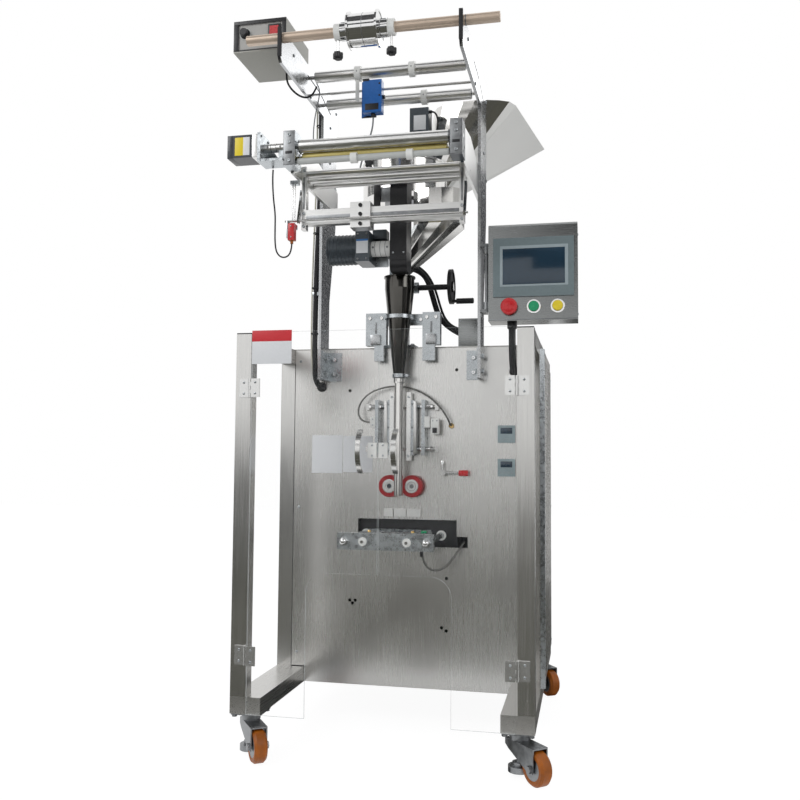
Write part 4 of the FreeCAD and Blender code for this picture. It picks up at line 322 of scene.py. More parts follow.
def motors_face(spot, normal):
    if spot.y > 250:
        return "zinc" if spot.z < 1622.5 else "slate"
    if spot.x > -17.5:
        return "black_plastic"
    return "white_plastic" if spot.x > -69.5 else "slate"


def sealer_face(side):
    def pick(spot, normal):
        reach = side * (spot.x - FILM_X)
        if reach < 31:
            return "bright_bar"
        if reach > 71.5:
            return "white_plastic" if 820 < spot.z < 860 else "chrome"
        return None
    return pick


def draw_face(side):
    centre = FILM_X + side * 32
    return lambda spot, normal: "bright_bar" if math.hypot(spot.x - centre, spot.z - 664) < 17.6 else None


def jaw_face(spot, normal):
    if spot.y < 123.6:
        for centre in (FILM_X - 58, FILM_X + 58):
            if 4.3 < math.hypot(spot.x - centre, spot.z - 527) < 11.4:
                return "white_plastic"
        return "chrome"
    return None


def guides_face(spot, normal):
    if spot.z > 603:
        return None
    return "white_plastic" if spot.y < 341 and spot.z > 575 else "black_plastic"


def box_face(spot, normal):
    if spot.x < 244.5:
        return "zinc_dark"
    return "bezel_grey" if spot.y < 189.7 else None


def door_fitting_face(spot, normal):
    if abs(spot.x) < 27 and 740 < spot.z < 781:
        return "white_plastic"
    return "stainless" if abs(spot.x) < 60 else "bright_bar"


def fittings_face(spot, normal):
    return "bright_bar" if spot.z > 200 else "zinc_dark"


def stand_face(spot, normal):
    if spot.y > 380 and spot.x > 130:
        return "box_steel"
    return "zinc_dark" if spot.z > 1486 else None


def wheel_face(node):
    """The hub of a castor wheel is dark; the tread round it is orange."""
    piece = NODES[node]
    corners = [piece.matrix_world @ Vector(corner) for corner in piece.bound_box]
    middle = sum(corners, Vector()) / 8 * 1000 + Vector((MIDDLE_X, FRONT_Y, 0))
    return lambda spot, normal: "zinc_dark" if (spot - middle).length < 29.5 else None


bpy.context.view_layer.update()
CHOOSERS = {
    "arm_plates": faces_where("black_plastic", lambda spot, normal: normal.y < -0.7 and spot.y < -90),
    "reel_chuck": chuck_face, "upper_roller_front": ring_face(*UPPER_FRONT, 15),
    "upper_roller_rear": ring_face(*UPPER_REAR, 15), "guide_roller": ring_face(-44, 1477, 8),
    "film_subframe": subframe_face, "film_sensors": sensor_face,
    "feed_motor": faces_where("zinc", lambda spot, normal: spot.x > -302), "aux_case": case_face,
    "metering_motors": motors_face, "sealer_left": sealer_face(-1), "sealer_right": sealer_face(1),
    "draw_roller_left": draw_face(-1), "draw_roller_right": draw_face(1), "front_jaw": jaw_face,
    "sealing_guides": guides_face,
    "roller_lever": faces_where("red_plastic", lambda spot, normal: spot.x > 149.5),
    "temperature_controllers": faces_where("meter_glass", lambda spot, normal: spot.y < 334.2),
    "control_box": box_face, "left_door": faces_where("acrylic_edge", lambda spot, normal: abs(normal.y) < 0.5),
    "right_door": faces_where("acrylic_edge", lambda spot, normal: abs(normal.y) < 0.5),
    "left_door_fittings": door_fitting_face, "right_door_fittings": door_fitting_face,
    "main_frame": faces_where("rail_steel", lambda spot, normal: spot.z < 151 or
                              spot.z > 1013.5 and 41 < spot.y < 829),
    "frame_fittings": fittings_face, "cabinet_covers": faces_where("zinc", lambda spot, normal: spot.x > 377.5),
    # The funnel's upper cone takes the polished steel with a painted dark reflection.
    "filling_funnel": faces_where("funnel_painted_dark_reflection", lambda spot, normal: spot.z > 968),
    "hopper": faces_where("hopper_matt", lambda spot, normal: normal.x > 0.55 and abs(normal.y) < 0.6),
    "metering_drum": faces_where("hopper_matt", lambda spot, normal: spot.z < 1500 and normal.x > 0.75),
    "metering_stand": stand_face,
    "arm_brackets": faces_where("zinc_dark", lambda spot, normal: spot.x > 216.5 and spot.z > 1080),
}
for corner in ("front_left", "front_right", "rear_left", "rear_right"):
    CHOOSERS["castor_wheel_" + corner] = wheel_face("castor_wheel_" + corner)
for node_name in NODES:
    dress(node_name, CHOOSERS.get(node_name))

# Makers of small pieces. Sizes are in millimetres; each piece rides on a body.


def keep(piece, body):
    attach(piece, body)
    return piece


def mesh_piece(name, shape, material, body):
    """Turn a bmesh written in millimetres into a piece of the scene."""
    for vertex in shape.verts:
        vertex.co = at(*vertex.co)
    bmesh.ops.recalc_face_normals(shape, faces=shape.faces[:])
    data = bpy.data.meshes.new(name)
    shape.to_mesh(data)
    shape.free()
    for polygon in data.polygons:
        polygon.use_smooth = True
    data.materials.append(MATS[material])
    data.set_sharp_from_angle(angle=math.radians(35))
    piece = bpy.data.objects.new(name, data)
    bpy.context.scene.collection.objects.link(piece)
    return keep(piece, body)


def add_block(shape, x, y, z, edge=0.6):
    """A block between two values on each axis, with rounded edges."""
    corners = [shape.verts.new((x[i], y[j], z[k])) for i in (0, 1) for j in (0, 1) for k in (0, 1)]
    sides = [(0, 1, 3, 2), (4, 6, 7, 5), (0, 4, 5, 1), (2, 3, 7, 6), (0, 2, 6, 4), (1, 5, 7, 3)]
    faces = [shape.faces.new([corners[i] for i in side]) for side in sides]
    if edge:
        edges = list({line for face in faces for line in face.edges})
        bmesh.ops.bevel(shape, geom=edges, offset=edge, segments=2, affect="EDGES", profile=0.6)


def add_turned(shape, axis, start, centre, profile, count=36):
    """A turned form; profile holds (radius, distance from start); centre holds the other two coordinates."""
    rings = []
    for radius, reach in profile:
        ring = []
        for index in range(count if radius > 0 else 1):
            angle = 2 * math.pi * (index + 0.5) / count
            a, b = centre[0] + radius * math.cos(angle), centre[1] + radius * math.sin(angle)
            spot = {"X": (start + reach, a, b), "Y": (a, start + reach, b), "Z": (a, b, start + reach)}[axis]
            ring.append(shape.verts.new(spot))
        rings.append(ring)
    for low, high in zip(rings, rings[1:]):
        for index in range(count):
            nearby = (index + 1) % count
            corners = [low[index % len(low)], low[nearby % len(low)], high[nearby % len(high)],
                       high[index % len(high)]]
            corners = list(dict.fromkeys(corners))
            if len(corners) > 2:
                shape.faces.new(corners)


def block(name, x, y, z, material, body="frame", edge=0.6):
    shape = bmesh.new()
    add_block(shape, x, y, z, edge)
    return mesh_piece(name, shape, material, body)


def blocks(name, spans, material, body="frame", edge=0.3):
    """Several blocks in one piece."""
    shape = bmesh.new()
    for x, y, z in spans:
        add_block(shape, x, y, z, edge)
    return mesh_piece(name, shape, material, body)


def turned(name, axis, start, centre, profile, material, body="frame", count=36):
    shape = bmesh.new()
    add_turned(shape, axis, start, centre, profile, count)
    return mesh_piece(name, shape, material, body)


def ring_profile(inner, outer, width):
    """A closed ring section with softened corners."""
    soft = min(0.6, width / 4, (outer - inner) / 4)
    return [(inner, 0), (outer - soft, 0), (outer, soft), (outer, width - soft), (outer - soft, width),
            (inner, width), (inner, 0)]


def rings(name, axis, places, inner, outer, width, material, body="frame"):
    """Equal rings along an axis; each place is (start, centre)."""
    shape = bmesh.new()
    for start, centre in places:
        add_turned(shape, axis, start, centre, ring_profile(inner, outer, width))
    return mesh_piece(name, shape, material, body)


def socket_head(radius, height, sign):
    """Cap screw with a recess in its head; sign is the direction it points to."""
    return [(0, sign * height * 0.4), (radius * 0.46, sign * height * 0.4), (radius * 0.5, sign * height),
            (radius * 0.86, sign * height), (radius, sign * height * 0.82), (radius, 0)]


def pan_head(radius, height, sign):
    return [(0, sign * height), (radius * 0.5, sign * height * 0.92), (radius * 0.85, sign * height * 0.6),
            (radius, sign * height * 0.2), (radius, 0)]


def screws(name, axis, sign, start, places, radius, height, material="chrome", body="frame", head=pan_head):
    """A set of equal screw heads on one face; each place holds the two coordinates on that face."""
    shape = bmesh.new()
    for centre in places:
        add_turned(shape, axis, start, centre, head(radius, height, sign), 20)
    return mesh_piece(name, shape, material, body)


def sockets(name, axis, sign, start, places, radius, height, material="zinc", body="frame"):
    """The same with socket heads."""
    return screws(name, axis, sign, start, places, radius, height, material, body, socket_head)


def line_object(name, points, radius, material, order=4):
    """A tube along a smooth line that the points pull."""
    data = bpy.data.curves.new(name, "CURVE")
    data.dimensions = "3D"
    data.bevel_depth = radius / 1000
    data.bevel_resolution = 4
    data.resolution_u = 10
    data.use_fill_caps = True
    spline = data.splines.new("NURBS")
    spline.points.add(len(points) - 1)
    for point, place in zip(spline.points, points):
        point.co = (*at(*place), 1)
    spline.order_u = min(order, len(points))
    spline.use_endpoint_u = True
    data.materials.append(MATS[material])
    piece = bpy.data.objects.new(name, data)
    bpy.context.scene.collection.objects.link(piece)
    return piece


def wire(name, points, radius, material, body="frame"):
    return keep(line_object(name, points, radius, material), body)


def spring(name, span, centre, radius, turns, thick, material, body):
    """A coil spring along X."""
    points = []
    for index in range(turns * 8 + 1):
        angle = math.pi * index / 4
        x = span[0] + (span[1] - span[0]) * index / (turns * 8)
        points.append((x, centre[0] + radius * math.cos(angle), centre[1] + radius * math.sin(angle)))
    return wire(name, points, thick, material, body)


def strip(name, x, start, end, width, thick, material, body="frame"):
    """A flat strip on a face across X, between two (y, z) points."""
    along = Vector((end[0] - start[0], end[1] - start[1])).normalized()
    across = Vector((-along.y, along.x)) * width / 2
    plan = [(start[0] + across.x, start[1] + across.y), (end[0] + across.x, end[1] + across.y),
            (end[0] - across.x, end[1] - across.y), (start[0] - across.x, start[1] - across.y)]
    shape = bmesh.new()
    near = [shape.verts.new((x, y, z)) for y, z in plan]
    far = [shape.verts.new((x + thick, y, z)) for y, z in plan]
    shape.faces.new(near)
    shape.faces.new(far[::-1])
    for index in range(4):
        shape.faces.new([near[index], near[(index + 1) % 4], far[(index + 1) % 4], far[index]])
    return mesh_piece(name, shape, material, body)


# Film reel, upper rollers and the small case


def dress_case():
    # A grey ring round the knob is a painted shadow: it stands for the knob's shadow on the case front.
    rings("case_knob_shadow_ring", "Y", [(-38.2, (-352, 1821.5))], 11, 16, 1.2, "grey_plastic")
    block("case_rocker_frame", (-291, -257), (-39.6, -37.1), (1807, 1841), "black_plastic")
    blocks("case_frame", [((-382.6, -241.6), (-41.2, -39.6), (1846, 1855)), ((-382.6, -370), (-41.2, -39.6),
           (1776, 1847)), ((-253, -241.6), (-41.2, -39.6), (1776, 1847))], "black_plastic")
    block("case_foot_tray", (-382.5, -242), (-41, 138), (1772.6, 1775.8), "case_grey")
    screws("case_screws", "Y", -1, -40, [(-379.6, 1790), (-379.6, 1840), (-244.4, 1790), (-244.4, 1840)], 1.5,
           0.6, "zinc_dark")
    wire("case_lead", [(-275, 60, 1776), (-275, 60, 1750), (-276, 62, 1731), (-262, 84, 1712), (-240, 108, 1702),
                       (-222, 124, 1716), (-214, 130, 1744)], 2.6, "rubber_black")
    wire("case_thin_lead", [(-214, 130, 1752), (-206, 132, 1742), (-211, 150, 1726), (-228, 172, 1698),
                            (-244, 200, 1664), (-257, 236, 1622), (-257, 268, 1585), (-254, 300, 1560)], 1.6,
         "cable_grey")
    wire("case_rear_lead", [(-300, 138, 1812), (-300, 168, 1812), (-286, 204, 1806), (-266, 244, 1796),
                            (-256, 276, 1784), (-254, 298, 1766)], 3.2, "rubber_black")


def dress_arms():
    for side, x in ((-1, (-242.8, -233.2)), (1, (207.2, 216.8))):
        name = "left" if side < 0 else "right"
        block("arm_tip_trim_" + name, x, (-98.9, -92), (1727, 1800.6), "rubber_black")
    left = [(386, 1770), (330, 1706), (142, 1721), (0, 1772), (331, 1601), (386, 1538), (325, 1474), (300, 1100)]
    sockets("arm_screws_left", "X", 1, -234, left, 4.2, 2.4)
    sockets("arm_screws_right", "X", 1, 216, left[:-1], 4.6, 2.6)
    spans = [((114, 1770), (225, 1768)), ((237, 1765), (330, 1746))]
    for index, (start, end) in enumerate(spans):
        strip("arm_slot_%d" % index, -233.9, start, end, 4.0, 0.5, "black_plastic")
        strip("arm_slot_right_%d" % index, 216.1, start, end, 4.0, 0.5, "black_plastic")
    sockets("foot_screws", "Y", -1, 336, [(-214, 981.5), (-214, 1022.5), (188, 981.5), (188, 1022.5)], 5.2, 5.8,
            "chrome")


def dress_reel():
    rings("chuck_seam", "X", [(-26.6, (SHAFT_Y, SHAFT_Z))], 38.6, 39.35, 1.2, "zinc_dark", "reel_chuck")
    for index, start in enumerate((-64.6, 11.0)):
        rings("chuck_flare_%d" % index, "X", [(start - 0.4, (SHAFT_Y, SHAFT_Z))], 38.5, 43.9, 1.4, "chrome",
              "reel_chuck")
    shape = bmesh.new()
    for index in range(6):
        angle = math.radians(60 * index + 20)
        y = SHAFT_Y + 21.2 * math.cos(angle)
        z = SHAFT_Z + 21.2 * math.sin(angle)
        for span in ((-82, -68), (16, 30)):
            add_block(shape, span, (y - 1.6, y + 1.6), (z - 1.6, z + 1.6), 0.4)
    mesh_piece("chuck_hub_slots", shape, "zinc_dark", "reel_chuck")
    shape = bmesh.new()
    for x in (-93, 41):
        for index in range(6):
            angle = math.radians(60 * index)
            add_turned(shape, "Z", 1714.5, (x + 9.2 * math.cos(angle), SHAFT_Y + 9.2 * math.sin(angle)),
                       [(0, 0), (2.6, 0), (3.4, 1.2), (3.4, 13), (2.6, 15), (0, 15)], 14)
    mesh_piece("chuck_knob_lobes", shape, "black_plastic", "reel_chuck")
    rings("shaft_groove", "X", [(220.5, (SHAFT_Y, SHAFT_Z))], 11.8, 12.8, 2.4, "zinc_dark", "film_shaft")
    rings("shaft_sleeve", "X", [(-318.5, (SHAFT_Y, SHAFT_Z))], 6.5, 9.5, 3, "zinc_dark", "film_shaft")


def dress_upper_rollers():
    block("eye_hanger", (-104, -94), (126, 129), (1690, 1751), "white_plastic")
    for body, centre in (("upper_roller_front", UPPER_FRONT), ("upper_roller_rear", UPPER_REAR)):
        rings(body + "_end_caps", "X", [(-219.4, centre), (188.4, centre)], 5.4, 13, 4, "zinc_dark", body)
    screws("ring_screws_front", "Y", -1, 116.4, [(-99, 1772), (49, 1772)], 2.2, 0.8, "zinc_dark",
           "upper_roller_front")
    screws("ring_screws_rear", "Y", -1, 230.4, [(-83, 1742), (61, 1742)], 2.2, 0.8, "zinc_dark",
           "upper_roller_rear")


def dress_eye():
    block("eye_cap", (-75, -58), (91.4, 118), (1730, 1737), "black_plastic")
    block("eye_face", (-68, -32), (91.2, 92), (1652, 1669), "black_plastic", edge=0.2)
    screws("eye_screws", "Y", -1, 92, [(-30, 1722), (-30, 1690)], 2.6, 1.4, "black_plastic")
    turned("eye_gland", "Z", 1636.5, (-49, 105), [(0, 0), (4, 0), (6.5, 2), (6.5, 10), (0, 10)], "black_plastic",
           count=6)
    wire("eye_lead", [(-49, 105, 1637), (-49, 105, 1616), (-55, 109, 1596), (-68, 118, 1566), (-82, 121, 1530),
                      (-88, 120, 1508), (-90, 128, 1494)], 2.2, "cable_grey")


# Feed roller, its blocks and motor, the hanging bars and the dancer's switch


def dress_feed():
    for name, x in (("left", (-237, -207)), ("right", (181, 211))):
        middle = (x[0] + x[1]) / 2
        block("block_plate_" + name, (x[0] + 1.5, x[1] - 1.5), (-60.9, -60), (1466, 1550), "zinc_dark")
        block("block_slot_" + name, (middle - 9, middle + 9), (-61.5, -60.8), (1493, 1500), "black_plastic",
              edge=0.2)
        sockets("block_screws_" + name, "Y", -1, -60.9, [(middle, 1476), (middle, 1523), (middle, 1541)], 4, 2.2)
        sockets("block_top_screws_" + name, "Z", 1, 1552, [(middle - 8, -24), (middle + 8, -46)], 4, 3)
    half = 29
    low, high = 1518 - half, 1518 + half
    for index, x in enumerate(((-382.9, -368), (-318, -303.4))):
        block("motor_end_%d" % index, x, (-65.4, -6.6), (low - 0.4, high + 0.4), ("motor_dark",
              "aluminium")[index], edge=2)
    block("motor_label_white", (-341, -324), (-65.5, -64.9), (1495, 1541), "label_white", edge=0.1)
    block("motor_label_yellow", (-363, -341), (-65.5, -64.9), (1495, 1541), "label_yellow", edge=0.1)
    sockets("motor_screws", "X", 1, -295, [(-60, 1494), (-12, 1494), (-60, 1543), (-12, 1543)], 3.2, 2.6)
    rings("coupling_grooves", "X", [(-276, (-36, 1518)), (-262, (-36, 1518))], 10.4, 11.3, 1.6, "zinc_dark",
          "feed_roller")
    screws("coupling_screws", "Y", -1, -46.8, [(-283, 1518), (-250, 1518)], 2.6, 1.4, "zinc_dark", "feed_roller")
    for body, y, z, inner, outer in (("feed_roller", -36, 1518, 15.3, 15.75),
                                     ("nip_roller", -22.7, 1492.4, 12.6, 13.2)):
        rings(body + "_bands", "X", [(-203.5, (y, z)), (174.5, (y, z))], inner, outer, 3, "zinc_dark", body)


def dress_bars():
    blocks("profile_groove", [((-213, 187), (54.6, 55.4), (1358.5, 1367.5))], "zinc_dark")
    blocks("bar_grooves", [((x - 2.5, x + 2.5), (54.6, 55.4), (1386, 1470)) for x in (-220, 194)], "zinc_dark")
    sockets("clamp_screws", "Y", -1, 47, [(-66, 1338), (-66, 1363), (-66, 1386)], 5, 3.4, "black_plastic")
    sockets("bar_screws", "Y", -1, 55, [(-220, 1340), (-220, 1374), (194, 1340), (194, 1374), (-220, 1488), (194,
            1488)], 4, 3)
    turned("star_knob_stem", "Y", 252, (-95, 1564), [(0, 0), (4, 0), (4, 72), (0, 72)], "chrome")
    shape = bmesh.new()
    add_turned(shape, "Y", 240, (-95, 1564), [(0, 0), (8, 0), (9.5, 2), (9.5, 10), (7, 14), (0, 14)], 24)
    for index in range(5):
        angle = math.radians(72 * index + 10)
        add_turned(shape, "Y", 241, (-95 + 9 * math.cos(angle), 1564 + 9 * math.sin(angle)),
                   [(0, 0), (3.4, 0), (4.2, 1.2), (4.2, 8), (3.4, 9), (0, 9)], 14)
    mesh_piece("star_knob", shape, "black_plastic", "frame")


def dress_switch():
    block("switch_lid", (-253, -239), (30.9, 31.6), (1303, 1341), "red_plastic", edge=0.3)
    screws("switch_screws", "Y", -1, 31, [(-246, 1308), (-246, 1336)], 2, 1, "zinc")
    block("switch_clip", (-259, -255), (33, 49), (1306, 1352), "zinc", edge=0.4)
    turned("switch_plunger", "Z", 1343, (-246, 40), [(0, 0), (3.4, 0), (3.4, 2.6), (1.6, 3), (1.6, 4.2), (0,
           4.2)], "chrome")


# Metering unit


def dress_metering():
    shape = bmesh.new()
    for index in range(7):
        add_turned(shape, "X", -184 + index * 10.5, GEAR, ring_profile(39.4, 41.2, 3.2))
    mesh_piece("gear_motor_ribs", shape, "slate", "frame")
    turned("gear_motor_cap", "X", -191.5, GEAR, [(0, 0), (30, 0), (37, 2), (40.6, 6), (40.6, 9)], "black_plastic")
    block("gear_label", (-105, -73), (154.4, 155), (1288, 1326), "label_white", edge=0.1)
    block("gear_label_strip", (-105, -73), (154.2, 155), (1321, 1326), "label_blue", edge=0.1)
    screws("gear_screws", "Y", -1, 155, [(-101, 1273), (-77, 1273), (-101, 1341), (-77, 1341)], 3, 1.6,
           "zinc_dark")
    rings("gear_coupling_slits", "X", [(-60, GEAR), (-46, GEAR), (-32, GEAR)], 20, 21.4, 1.4,
          "zinc_dark")
    screws("gear_coupling_screws", "Y", -1, 175.4, [(-64, 1307), (-25, 1307)], 3, 1.6, "zinc_dark")
    block("gear_top_block", (-72, -33), (200, 238), (1336, 1362), "slate", edge=2)
    block("guard_back_plate", (-69, -51), (199, 205), (1425, 1498), "black_plastic")
    blocks("guard_back_bracket", [((-69, -17), (205, 211), (1440, 1480))], "zinc_dark")
    for index, z in enumerate((1446, 1474)):
        turned("guard_bolt_%d" % index, "X", -66, (214, z), [(0, 0), (5.4, 0), (5.4, 4), (3, 4), (3, 50), (0,
               50)], "chrome")
    blocks("guard_lip", [((-17.4, 29.4), (171.4, 174), (1495, 1499.5)), ((-17.4, 29.4), (171.4, 174), (1268,
           1271))], "rubber_black")
    screws("guard_screws", "Y", -1, 172, [(-8, 1484), (20, 1484), (-8, 1290), (20, 1290)], 3, 1.4, "zinc")
    block("stirrer_label", (6, 42), (371.3, 372), (1698, 1742), "label_white", edge=0.1)
    block("stirrer_side_plate", (50, 54), (372, 424), (1630, 1668), "slate", edge=1)
    screws("stirrer_screws", "Y", -1, 372, [(0, 1628), (44, 1628), (0, 1666), (44, 1666)], 2.6, 1.6, "zinc")
    turned("stirrer_top_cap", "Z", 1764.6, (22, 400), [(24, 0), (24, 1.6), (22, 2.4), (0, 2.4)], "black_plastic")
    turned("stirrer_gland", "X", 49.8, (388, 1756), [(0, 0), (5, 0), (5, 6), (3.4, 8), (0, 8)], "black_plastic")
    wire("stirrer_lead", [(57, 388, 1756), (66, 388, 1755), (74, 392, 1742), (74, 398, 1716), (66, 404, 1690),
                          (56, 408, 1668), (52, 420, 1640), (46, 430, 1623)], 2.6, "rubber_black")
    sockets("stand_foot_screws", "Z", 1, 1064, [(-74, 356), (10, 356), (-74, 412), (10, 412)], 5, 4)
    block("terminal_lid", (139, 199), (385.2, 386), (1059, 1139), "box_steel", edge=0.4)
    screws("terminal_screws", "Y", -1, 385.2, [(143, 1064), (195, 1064), (143, 1134), (195, 1134)], 2.4, 1,
           "zinc")
    rings("drum_lip", "Z", [(1600.8, (-30, 430))], 127.6, 129.4, 5.4, "stainless")


def dress_crank():
    for index, (drop, y, radius) in enumerate(((0, 399, 4.5), (9, 408, 3.6), (-9, 405, 4.0))):
        wire("drive_cable_%d" % index, [(-14, 378 + 4 * index, 1300 + drop), (24, y, 1296 + drop), (56 + drop, y,
             1250), (70 + drop, y, 1180), (94 + drop, y, 1124), (139, y, 1106 + drop)], radius, "rubber_black")
    turned("crank_grip_end", "X", 180, (372, 1190), [(8.2, 0), (8.2, 1.6), (6, 3.4), (0, 3.4)], "black_plastic",
           "hand_crank")
    turned("crank_hub_cap", "X", 125.8, (372, 1232), [(12, 0), (12, 1), (9, 2.4), (0, 2.4)], "chrome",
           "hand_crank")


# Funnel, its holder and the tube


def dress_funnel():
    rings("tube_clamp", "Z", [(964, (FILM_X, 283))], 15.1, 18.6, 11, "zinc")
    block("tube_clamp_lug", (3, 14), (279, 287), (965, 974), "zinc")
    sockets("tube_clamp_screw", "X", 1, 14, [(283, 969.5)], 3, 3, "zinc_dark")
    for name, x, screw_x in (("left", (-115, -56), (-103, -69)), ("right", (48, 98), (60, 86))):
        middle = (x[0] + x[1]) / 2
        sockets("holder_screws_" + name, "Y", -1, 306, [(screw_x[0], 1136), (screw_x[1], 1136), (middle, 1076)],
                5.4, 3.4, "chrome")
        block("holder_slot_" + name, (middle - 3, middle + 3), (305.6, 306.3), (1092, 1124), "zinc_dark",
              edge=0.2)
        block("holder_front_" + name, (middle - 14, middle + 14), (298, 306), (1060, 1088), "plate_white",
              edge=1.2)
    sockets("holder_bar_screws", "Y", -1, 324, [(-48, 1132), (40, 1132)], 5, 3.4, "chrome")


# Sealers, draw rollers, lever and jaws


def dress_sealers():
    for side, body in ((-1, "sealer_left"), (1, "sealer_right")):
        outer = 61
        for index, z in enumerate(SEALER_RODS_Z):
            span = (FILM_X + side * (outer + 10.4), FILM_X + side * (outer + 23.6))
            spring("%s_spring_%d" % (body, index), span, (311, z), 6.2, 4, 0.9, "chrome", body)
        sockets(body + "_face_screws", "Y", -1, 301, [(FILM_X + side * 24, 748), (FILM_X + side * 24, 912)], 3.2,
                1.8, "zinc", body)
        x = FILM_X + side * 34
        screws(body + "_back_screws", "Y", -1, 305, [(x, 762), (x, 827), (x, 892)], 2.6, 1.4, "zinc_dark", body)
        edge = sorted((FILM_X + side * 37.5, FILM_X + side * 46))
        block(body + "_carrier", edge, (303, 322), (754, 900), "aluminium", body, 1.0)
        nut = [(0, -side * 5), (6, -side * 5), (6.6, -side * 4), (6.6, 0), (0, 0)]
        for index, z in enumerate(SEALER_RODS_Z):
            turned("%s_nut_%d" % (body, index), "X", FILM_X + side * outer, (311, z), nut, "chrome", body, 6)
    block("sensor_block_right", (74, 97), (296, 318), (808, 852), "white_plastic", "sealer_right", 1.2)
    block("sensor_terminal_right", (80, 92), (291, 296), (812, 826), "black_plastic", "sealer_right", 0.8)
    screws("sensor_screws_left", "Y", -1, 295, [(-90, 834), (-90, 850)], 2.4, 1.2, "zinc", "sealer_left")
    screws("sensor_screws_right", "Y", -1, 296, [(80, 846), (92, 846)], 2.2, 1.1, "zinc", "sealer_right")
    turned("conduit_gland", "Y", 330, (126, 833), [(0, 0), (5, 0), (8, 2), (8, 10), (0, 10)], "brass", count=6)


def dress_draw_rollers():
    left, right = (FILM_X - 32, 664), (FILM_X + 32, 664)
    turned("draw_socket", "Y", 311.6, left, [(0, 0), (7.4, 0), (7.4, 0.8), (0, 0.8)], "slate", "draw_roller_left",
           6)
    rings("draw_rings", "Y", [(307.6, right)], 11.5, 13, 1, "zinc_dark", "draw_roller_right")
    turned("draw_centre", "Y", 310.6, right, [(0, 0), (5, 0), (6, 1), (6, 2), (0, 2)], "zinc_dark",
           "draw_roller_right")
    rings("draw_edge_left", "Y", [(308.6, left)], 17.0, 19.2, 1.2, "chrome", "draw_roller_left")
    rings("draw_edge_right", "Y", [(308.6, right)], 17.0, 19.2, 1.2, "chrome", "draw_roller_right")
    turned("lever_knob", "Z", 710, (104, 319), [(0, 0), (2.6, 0), (2.6, 14), (5, 15), (5, 25), (3.6, 27), (0,
           27)], "chrome", "roller_lever")
    rings("lever_grip_bands", "X", [(154, (319, 702)), (171, (319, 702))], 7.8, 8.5, 1.6, "red_plastic",
          "roller_lever")


def dress_jaws():
    rods = [(-121, 527), (95, 527)]
    shape = bmesh.new()
    for centre in rods:
        add_turned(shape, "Y", 118, centre, [(9.6, 0), (9.4, -3), (7.6, -7), (4.6, -9.4), (0, -10.4)], 24)
    mesh_piece("jaw_acorn_nuts", shape, "chrome", "front_jaw")
    sockets("jaw_small_screws", "Y", -1, 124, [(-87, 538), (-87, 515), (62, 539), (62, 516)], 4.2, 3, "zinc_dark",
            "front_jaw")
    screws("jaw_terminals", "Z", 1, 545, [(-77, 216), (42, 216)], 5, 5, "brass", "front_jaw")
    block("jaw_tag", (66, 80), (206, 224), (545, 551), "green_plastic", "front_jaw")
    turned("jaw_lead_sleeve", "Z", 482, (65, 222), [(3.2, 0), (4.6, 1), (4.6, 26.6), (3.2, 26.6)],
           "black_plastic", "front_jaw")
    rings("jaw_bushes", "Y", [(354, centre) for centre in ((-121, 527), (95, 527), (-71, 527), (45, 527))], 8.6,
          14, 6, "white_plastic")
    blocks("jaw_shadow", [((-141, 141), (359, 360), (484, 582))], "black_plastic")


# Panel, doors, control box and frame


def dress_panel():
    block("panel_label_left", (-280, -189), (339.2, 340), (698, 806), "label_white", edge=0.15)
    block("panel_label_right", (-187, -100), (339.2, 340), (701, 804), "label_white", edge=0.15)
    screws("panel_screws", "Y", -1, 340, [(x, z) for x in (-318, 318) for z in (190, 600, 1020)], 4, 2, "zinc")
    for index, z in enumerate((810, 718)):
        block("meter_window_%d" % index, (263, 295), (333.2, 334), (z + 1, z + 17), "screen", edge=0.2)
        screws("meter_keys_%d" % index, "Y", -1, 334, [(x, z - 14) for x in (264, 274, 284, 294)], 1.6, 0.7,
               "zinc_dark")
    turned("loom_gland", "Y", 326, (-253, 945), [(7.6, 0), (11, 1), (12, 3), (12, 10), (14, 10), (14, 14), (7.6,
           14)], "black_plastic", count=24)
    turned("box_gland", "Z", 1086, (303, 241), [(9.2, 0), (12, 1), (13, 4), (13, 15), (9.2, 15)], "black_plastic",
           count=24)
    turned("box_elbow_gland", "Y", 328, (301, 983), [(9.2, 0), (13, 1), (14, 4), (14, 12), (9.2, 12)],
           "black_plastic", count=24)


def dress_doors():
    for side, body in ((-1, "left_door"), (1, "right_door")):
        x = side * 13.5
        screws(body + "_catch_screws", "Y", -1, -16, [(x, 748), (x, 773)], 2.6, 1.2, "zinc", body)
        for z in (252, 916):
            places = [(side * 319, z - 14), (side * 319, z + 14)]
            screws("%s_leaf_screws_%d" % (body, z), "Y", -1, -11, places, 3.2, 1.4, "zinc", body)
            places = [(side * 352, z - 14), (side * 352, z + 14)]
            screws("%s_post_screws_%d" % (body, z), "Y", -1, -3, places, 3.2, 1.4, "zinc")
    block("door_plate", (-330, -225), (-8.8, -8), (976, 1033), "label_white", "left_door", 0.15)
    block("door_plate_top", (-330, -225), (-8.8, -8), (1033, 1061), "label_red", "left_door", 0.15)


def dress_box():
    block("screen_frame", (276, 451), (184.5, 185.2), (1190, 1297), "pale_frame", "control_box", 0.3)
    block("screen_glass", (283, 443), (184.0, 184.6), (1195, 1289), "screen", "control_box", 0.2)
    block("box_lid_line", (246, 474), (189.4, 190.1), (1103, 1105.5), "zinc_dark", "control_box", 0.2)
    rings("button_rings", "Y", [(186.6, (x, BUTTONS_Z)) for x in (363, 424)], 14.0, 18.4, 3.6, "chrome",
          "control_box")
    rings("stop_collar", "Y", [(186.6, (300, BUTTONS_Z))], 14.2, 19.4, 3.6, "yellow_plastic", "control_box")
    turned("stop_cap", "Y", 172.4, (300, BUTTONS_Z), [(0, 0), (15, 0.4), (20, 2), (21.8, 5)], "red_plastic",
           "stop_button")
    screws("box_side_screws", "X", 1, 475, [(228, 1120), (228, 1330)], 4, 2, "zinc", "control_box")


